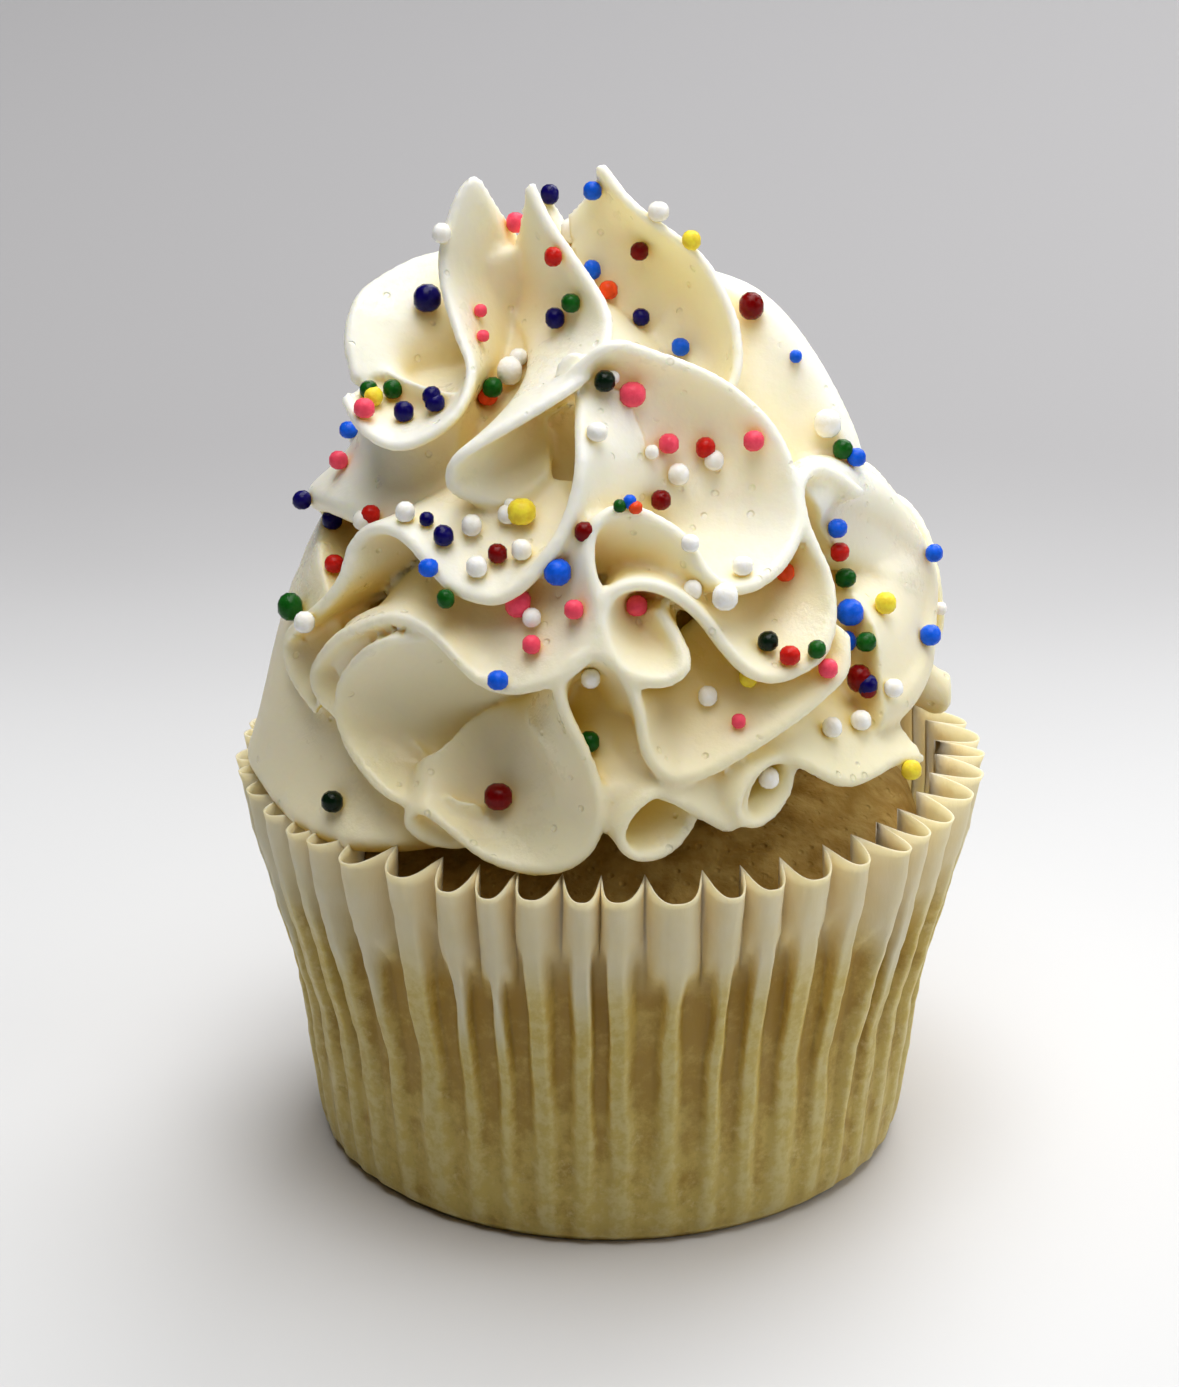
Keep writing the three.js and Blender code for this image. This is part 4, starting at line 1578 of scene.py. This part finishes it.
@dataclass
class Sponge:
    """The baked sponge, with its low domed crust showing past the buttercream.

    Attributes:
        node: The plain node that it stands for.
        sides: The number of corners round it.
        foot: The height of its underside, in mm.
        base_rings: The radii of the rings in its underside, in mm.
        dome_top: The height of the crust's middle, in mm.
        edge_height: The height of the crust's edge, in mm.
        edge_radius: The crust's radius in mm.
        base_radius: The radius of its underside, in mm.
        bevel: How wide and how tall the edge of its underside is rounded, in mm.
        wall_steps: The number of steps up its wall.
        dome_steps: The number of steps up the dome.
        dome_powers: How full the dome is: the power of its radius and that of its height.
        crumb_depth: How unevenly the crust rises, in mm.
        waves: The number of waves that make it uneven.
        wave_sizes: The shortest and the longest of them, in mm.
        wave_height: How tall a wave is, as a share of its length.
        most_shift: The most that a wave is shifted along, in radians.
        calm_edge: How far above its edge the crust is fully uneven, in mm.
        seed: The seed for the waves.
        finish: The sponge's finish.
    """

    node: str = "sponge"
    sides: int = 160
    foot: float = CAKE.foot
    base_rings: tuple[float, ...] = (1.0, 12.0)
    dome_top: float = CAKE.top + 0.3
    edge_height: float = SOAK_LINE
    edge_radius: float = CAKE.radius
    base_radius: float = CAKE.radius - 2.9
    bevel: tuple[float, float] = (0.6, 0.5)
    wall_steps: int = 12
    dome_steps: int = 30
    dome_powers: tuple[float, float] = (0.9, 0.85)
    crumb_depth: float = 0.35
    waves: int = 60
    wave_sizes: tuple[float, float] = (1.5, 6.0)
    wave_height: float = 0.03
    most_shift: float = 6.28
    calm_edge: float = 3.0
    seed: int = 5
    finish: SpongeCrumb = field(default_factory=SpongeCrumb)

    def build(self) -> bpy.types.Object:
        """Builds and dresses the sponge.

        Returns:
            The sponge.
        """
        rings = [(radius, self.foot) for radius in (*self.base_rings, self.base_radius - self.bevel[0])]
        start = self.foot + self.bevel[1]
        for step in range(self.wall_steps + 1):
            share = step / self.wall_steps
            rings.append((self.base_radius + (self.edge_radius - self.base_radius) * share,
                          start + (self.edge_height - start) * share))
        for step in range(1, self.dome_steps):
            slope = math.radians(90 * step / self.dome_steps)
            radius = self.edge_radius * math.cos(slope) ** self.dome_powers[0]
            rise = (self.dome_top - self.edge_height) * math.sin(slope) ** self.dome_powers[1]
            rings.append((radius, self.edge_height + rise))
        piece = ring_tower("baked_sponge", self.sides, tuple(rings), close_top=True)
        self.roughen(piece)
        shade_smooth(piece)
        piece.data.materials.append(self.finish.material())
        return piece

    def roughen(self, piece: bpy.types.Object) -> None:
        """Lets the crust rise unevenly, as batter does.

        Args:
            piece: The smooth sponge.
        """
        dice = random.Random(self.seed)
        place = corners_of(piece)
        lift = np.zeros(len(place))
        for _ in range(self.waves):
            size = dice.uniform(*self.wave_sizes)
            way = np.array([dice.gauss(0, 1) for _ in range(3)])
            way /= np.linalg.norm(way)
            phase = place @ way * 2 * math.pi / size + dice.uniform(0, self.most_shift)
            lift += size * self.wave_height * np.sin(phase)
        inside_edge = ease(place[:, 2], self.edge_height, self.edge_height + self.calm_edge)
        place[:, 2] += np.clip(lift, -1, 1) * self.crumb_depth * inside_edge
        set_corners(piece, place)


# ------------------------------------------------------------------ the sugar pearls


class PearlSize(Enum):
    """The three sizes of pearl, by their width in mm."""

    SMALL = 1.2
    MIDDLE = 1.8
    LARGE = 2.35


S, M, L = PearlSize.SMALL, PearlSize.MIDDLE, PearlSize.LARGE
STREWN_SIZES = (S, M, M, M, M, L)
"""The sizes that strewn pearls are drawn from."""
Landing = tuple[float, float, PearlSize]

LANDINGS: dict[SugarShell, tuple[Landing, ...]] = {
    SugarShell("pink_sugar", (0.88, 0.07, 0.125, 1)): (
        (-18, 86.4, M), (-26.5, 80, S), (-25, 78.2, S), (-59, 70.3, M), (14.5, 74.5, L), (19, 70.7, M),
        (42, 70, M), (-60, 66.3, M), (-13.6, 58.9, L), (-3.5, 59, M), (-11.5, 56, M), (6, 59.3, M),
        (38.2, 52, M), (21, 49.3, S)),
    SugarShell("red_sugar", (0.50, 0.011, 0.007, 1)): (
        (4, 84.6, M), (28, 70.2, M), (48.5, 60.9, M), (-56, 58.2, M), (-74, 58, M), (-46.2, 63.6, M),
        (30.6, 53.8, M)),
    SugarShell("claret_sugar", (0.15, 0.001, 0.001, 1)): (
        (40, 84.4, M), (71, 77.8, L), (14, 67, M), (-2, 65, M), (-18, 62.4, M), (-17.5, 43, L),
        (47, 50.4, L), (48.5, 49.2, M)),
    SugarShell("orange_sugar", (0.76, 0.065, 0.012, 1)): (
        (18, 81.7, M), (-20.5, 73.9, M), (36, 60.1, M), (9.2, 66.3, S)),
    SugarShell("yellow_sugar", (0.86, 0.65, 0.045, 1)): (
        (63, 83.5, M), (-57, 71.5, M), (-13, 65.5, L), (53.5, 55.4, M), (23, 52.8, M), (58, 41, M)),
    SugarShell("green_sugar", (0.005, 0.078, 0.006, 1)): (
        (7, 81.1, M), (-22.5, 75, M), (-49, 72.8, M), (-60, 71.8, M), (-70, 68.5, M), (66, 66.6, M),
        (47.6, 57.9, M), (36, 53.9, M), (-27, 59.4, M), (-62.5, 54, L), (-3, 48.3, M), (49, 53.3, M),
        (6.3, 66.4, S)),
    SugarShell("fir_sugar", (0.001, 0.008, 0.002, 1)): (
        (9.5, 75.3, M), (27, 55.2, M), (-51, 38.5, M)),
    SugarShell("blue_sugar", (0.006, 0.095, 0.66, 1)): (
        (35, 88.7, M), (15, 83.3, M), (34, 77, M), (-59.5, 68.8, M), (-78, 60.8, M), (-31, 60.9, M),
        (-5.3, 61.8, L), (-17.5, 53, M), (75, 73.5, S), (68, 65.6, M), (50, 62.3, M), (80, 55.8, M),
        (48, 55.8, L), (44.2, 54, M), (66, 50.8, M), (8.2, 66.5, S)),
    SugarShell("navy_sugar", (0.003, 0.001, 0.085, 1)): (
        (1, 88.2, M), (-46, 79.8, L), (1, 79.8, M), (24, 79.3, M), (-36, 73.7, M), (-34, 72.6, M),
        (-43.5, 71.3, M), (-29.5, 63.1, M), (-60, 61.8, M), (-72, 62, M), (48.5, 49.6, M),
        (-33.5, 64.1, S)),
    SugarShell("white_sugar", (0.94, 0.92, 0.84, 1)): (
        (9, 85.6, L), (-48, 85, M), (55, 86, M), (-14, 75.7, L), (-11.5, 76.8, M), (3, 71.6, M),
        (29, 69.2, M), (19, 68.5, M), (14.5, 70.3, S), (-47.6, 63.2, M), (-38.5, 64, M), (-23.5, 64.2, M),
        (-16, 65.4, M), (-13, 62.8, M), (-22, 61.2, M), (18, 63.5, M), (17.5, 60.6, M), (22.5, 59.9, L),
        (27, 60.8, M), (-11.5, 58, M), (-2.5, 54.6, M), (16, 51.7, M), (37, 47, M), (43.5, 46.7, M),
        (26, 44, M), (52, 48.5, M), (67, 68.7, L), (79, 51.3, S), (-72, 61.2, M), (-59, 53.8, M),
        (-81, 61.8, M), (-16, 66.6, S), (11, 75.6, S)),
}
"""Where pearls landed on the side that faces forward: bearing in degrees, height in mm and size."""


@dataclass
class SugarPearls:
    """Pearls of one colour: those thrown from the front by hand, and those strewn over the other sides.

    Attributes:
        shell: The pearls' finish.
        landings: Where the thrown ones landed.
        heap: The buttercream that they stick to.
        throw_from: Where the throwing hand is, in mm.
        cuts: How many times each edge of the cube that a bead starts as is cut.
        sunk: How deep a pearl sinks in, as a share of its radius.
        strewn_share: How many are strewn for each one that is thrown.
        strewn_bearings: Between which bearings they are strewn, in degrees.
        strewn_heights: Between which heights, in mm.
        aside: How far from straight on a strewn pearl may fly in, in degrees.
        drop: How steeply it may fall, as a rise over each step outwards.
        far: How far off it starts, in mm.
        uneven: How much smaller and larger than its size a pearl may be.
        lumpy: How much it may be squashed or drawn out along each axis.
        dent: How deep its dent is, as a share of its radius.
        dent_edge: Where the dent starts, as the cosine of the angle from its middle.
    """

    shell: SugarShell
    landings: tuple[Landing, ...]
    heap: bpy.types.Object
    throw_from: Point
    cuts: int = 2
    sunk: float = 0.12
    strewn_share: float = 2.2
    strewn_bearings: tuple[float, float] = (75, 285)
    strewn_heights: tuple[float, float] = (42, 86)
    aside: float = 25
    drop: tuple[float, float] = (0.3, 1.1)
    far: float = 60
    uneven: tuple[float, float] = (0.92, 1.06)
    lumpy: tuple[float, float] = (0.94, 1.06)
    dent: float = 0.07
    dent_edge: float = 0.4

    def bead(self) -> tuple[np.ndarray, list[tuple[int, ...]]]:
        """Models one round bead from a cube.

        Returns:
            Its corners at unit radius, and its faces.
        """
        bpy.ops.object.select_all(action="DESELECT")
        bpy.ops.mesh.primitive_cube_add(size=2 * MM)
        cube = bpy.context.object
        bpy.ops.object.mode_set(mode="EDIT")
        bpy.ops.mesh.select_all(action="SELECT")
        bpy.ops.mesh.subdivide(number_cuts=self.cuts)
        bpy.ops.transform.tosphere(value=1.0)
        bpy.ops.object.mode_set(mode="OBJECT")
        corners = corners_of(cube)
        corners /= np.linalg.norm(corners, axis=1)[:, None]
        faces = [tuple(face.vertices) for face in cube.data.polygons]
        bpy.data.objects.remove(cube, do_unlink=True)
        return corners, faces

    def flights(self, dice: random.Random) -> list[tuple[Vector, Vector, PearlSize]]:
        """Lists where each pearl comes from and which way it flies.

        Args:
            dice: The source of chance.

        Returns:
            For each pearl its start in mm, its direction and its size.
        """
        flights = []
        hand = Vector(self.throw_from)
        for bearing, height, size in self.landings:
            target = Vector(around((bearing, height))[0])
            flights.append((hand, (target - hand).normalized(), size))
        for _ in range(round(len(self.landings) * self.strewn_share)):
            bearing, height = dice.uniform(*self.strewn_bearings), dice.uniform(*self.strewn_heights)
            target = Vector(around((bearing, height))[0])
            turned = math.radians(bearing + dice.uniform(-self.aside, self.aside))
            back = Vector((math.sin(turned), -math.cos(turned), dice.uniform(*self.drop)))
            outside = target + back * self.far
            flights.append((outside, (target - outside).normalized(), dice.choice(STREWN_SIZES)))
        return flights

    @staticmethod
    def in_front(surface: BVHTree, place: Vector, hand: Vector) -> bool:
        """Tells whether a place, or any place a pearl's width off, lies open to the throwing hand.

        Args:
            surface: The heap's surface.
            place: The place, in metres.
            hand: Where the hand is, in mm.

        Returns:
            True if the hand could have reached it, so nothing is strewn there.
        """
        width = PearlSize.LARGE.value * MM
        for aside in ((0, 0, 0), (width, 0, 0), (-width, 0, 0), (0, 0, width), (0, 0, -width)):
            near = place + Vector(aside)
            way = near - hand * MM
            if surface.ray_cast(hand * MM, way, way.length - width / 2)[0] is None:
                return True
        return False

    def lumped(self, ball: np.ndarray, dice: random.Random) -> np.ndarray:
        """Makes a round bead a little uneven, as sugar shells are.

        Args:
            ball: The bead's corners at unit radius.
            dice: The source of chance.

        Returns:
            The uneven corners.
        """
        lump = np.array([dice.uniform(*self.lumpy) for _ in range(3)])
        dent = np.array([dice.gauss(0, 1) for _ in range(3)])
        dent /= np.linalg.norm(dent)
        return ball * lump * (1 - self.dent * ease(ball @ dent, self.dent_edge, 1.0))[:, None]

    def build(self) -> bpy.types.Object:
        """Drops the pearls on the heap.

        Returns:
            All the pearls of this colour as one piece.
        """
        dice = random.Random(self.shell.name)
        surface = BVHTree.FromObject(self.heap, bpy.context.evaluated_depsgraph_get())
        ball, ball_faces = self.bead()
        corners, faces = [], []
        hand = Vector(self.throw_from)
        for start, way, size in self.flights(dice):
            place, normal, _, _ = surface.ray_cast(start * MM, way)
            if place is None or (start != hand and self.in_front(surface, place, hand)):
                continue
            radius = size.value / 2 * dice.uniform(*self.uneven)
            centre = place / MM + normal * radius * (1 - self.sunk)
            faces += [tuple(index + len(corners) * len(ball) for index in face) for face in ball_faces]
            corners.append(self.lumped(ball, dice) * radius + np.array(centre))
        piece = mesh_piece(self.shell.name.replace("sugar", "pearls"), np.vstack(corners), faces)
        shade_smooth(piece)
        piece.data.materials.append(self.shell.material())
        return piece


# ------------------------------------------------------------------ table, light and camera


@dataclass(frozen=True)
class SoftLight:
    """One large soft lamp aimed at the middle of the cake.

    Attributes:
        name: What the lamp is called.
        place: Where it hangs, in metres.
        width: How wide it is, in metres.
        power: Its power in watts.
        tint: Its colour.
    """

    name: str
    place: Point
    width: float
    power: float
    tint: tuple[float, float, float] = (1.0, 1.0, 1.0)

    def hang(self, middle: Vector) -> None:
        """Hangs the lamp.

        Args:
            middle: Where it shines, in metres.
        """
        bpy.ops.object.light_add(type="AREA", location=self.place)
        lamp = bpy.context.object
        lamp.name = self.name
        lamp.data.shape = "DISK"
        lamp.data.size = self.width
        lamp.data.energy = self.power
        lamp.data.color = self.tint
        lamp.rotation_euler = (middle - Vector(self.place)).to_track_quat("-Z", "Y").to_euler()


@dataclass
class Studio:
    """The pale table, the soft lamps, the grey surroundings and the camera.

    Attributes:
        sight: Where the camera is aimed, in mm.
        distance: How far it stands from there, in mm.
        look_down: How steeply it looks down, in degrees.
        lens: Its focal length in mm.
        sky: The colour of the surroundings.
        sky_strength: How bright they are.
        table_size: The table's size in metres.
        lights: The lamps.
    """

    sight: Point = (-1.85, 0.0, 0.465 * HEAP.top)
    distance: float = 350.0
    look_down: float = 21.94
    lens: float = 102.5
    sky: Colour = (0.86, 0.92, 1.0, 1)
    sky_strength: float = 0.03
    table_size: float = 8.0
    lights: tuple[SoftLight, ...] = (
        SoftLight("ceiling", (0.05, 0.2, 1.1), 0.9, 9.4),
        SoftLight("ceiling_front", (0.0, -0.35, 1.1), 0.8, 6.3, (1.0, 0.97, 0.92)),
        SoftLight("side_window", (0.9, 0.0, 0.5), 0.6, 2.1, (0.94, 0.98, 1.0)),
        SoftLight("back_window", (0.3, 0.65, 0.55), 0.7, 4.6),
        SoftLight("front_window", (0.7, -0.5, 0.6), 0.6, 1.0),
    )

    def camera_place(self) -> Point:
        """Works out where the camera stands, from its distance and tilt.

        Returns:
            Its place in mm.
        """
        tilt = math.radians(self.look_down)
        return (self.sight[0], self.sight[1] - self.distance * math.cos(tilt),
                self.sight[2] + self.distance * math.sin(tilt))

    def lay_table(self) -> None:
        """Lays the table under the cake."""
        bpy.ops.object.select_all(action="DESELECT")
        bpy.ops.mesh.primitive_plane_add(size=self.table_size)
        table = bpy.context.object
        table.name = "table"
        table.data.materials.append(Tabletop().material())

    def set_camera(self) -> None:
        """Stands the camera where the cake is seen from a little above."""
        camera = bpy.data.objects.new("camera", bpy.data.cameras.new("camera"))
        bpy.context.collection.objects.link(camera)
        camera.location = Vector(self.camera_place()) * MM
        camera.data.lens = self.lens
        way = Vector(self.sight) * MM - camera.location
        camera.rotation_euler = way.to_track_quat("-Z", "Y").to_euler()
        bpy.context.scene.camera = camera

    def build(self) -> None:
        """Builds the studio."""
        self.lay_table()
        for light in self.lights:
            light.hang(Vector((0, 0, HEAP.top / 2)) * MM)
        world = bpy.data.worlds.new("surroundings")
        bpy.context.scene.world = world
        world.use_nodes = True
        background = world.node_tree.nodes["Background"]
        background.inputs["Color"].default_value = self.sky
        background.inputs["Strength"].default_value = self.sky_strength
        bpy.context.scene.view_settings.view_transform = "Standard"
        self.set_camera()


# ------------------------------------------------------------------ putting it together


def put_in_place(piece: bpy.types.Object, replaces: str | None) -> None:
    """Fixes a piece to the cake and reports it.

    Args:
        piece: The finished piece.
        replaces: The plain node that it stands for, if any.
    """
    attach(piece, BODY)
    if replaces:
        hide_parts(replaces)
    LOG.info("%s: %d corners, %d faces", piece.name, len(piece.data.vertices), len(piece.data.polygons))


def main() -> None:
    """Builds the cupcake in order, from the case up, and the studio round it."""
    logging.basicConfig(level=logging.INFO, format="%(name)s %(message)s")
    studio = Studio()
    case = PaperCase()
    put_in_place(case.build(), case.node)
    sponge = Sponge()
    put_in_place(sponge.build(), sponge.node)
    frosting = Frosting()
    heap = frosting.build()
    put_in_place(heap, frosting.node)
    for shell, landings in LANDINGS.items():
        put_in_place(SugarPearls(shell, landings, heap, studio.camera_place()).build(), None)
    studio.build()


if __name__ == "__main__":
    main()
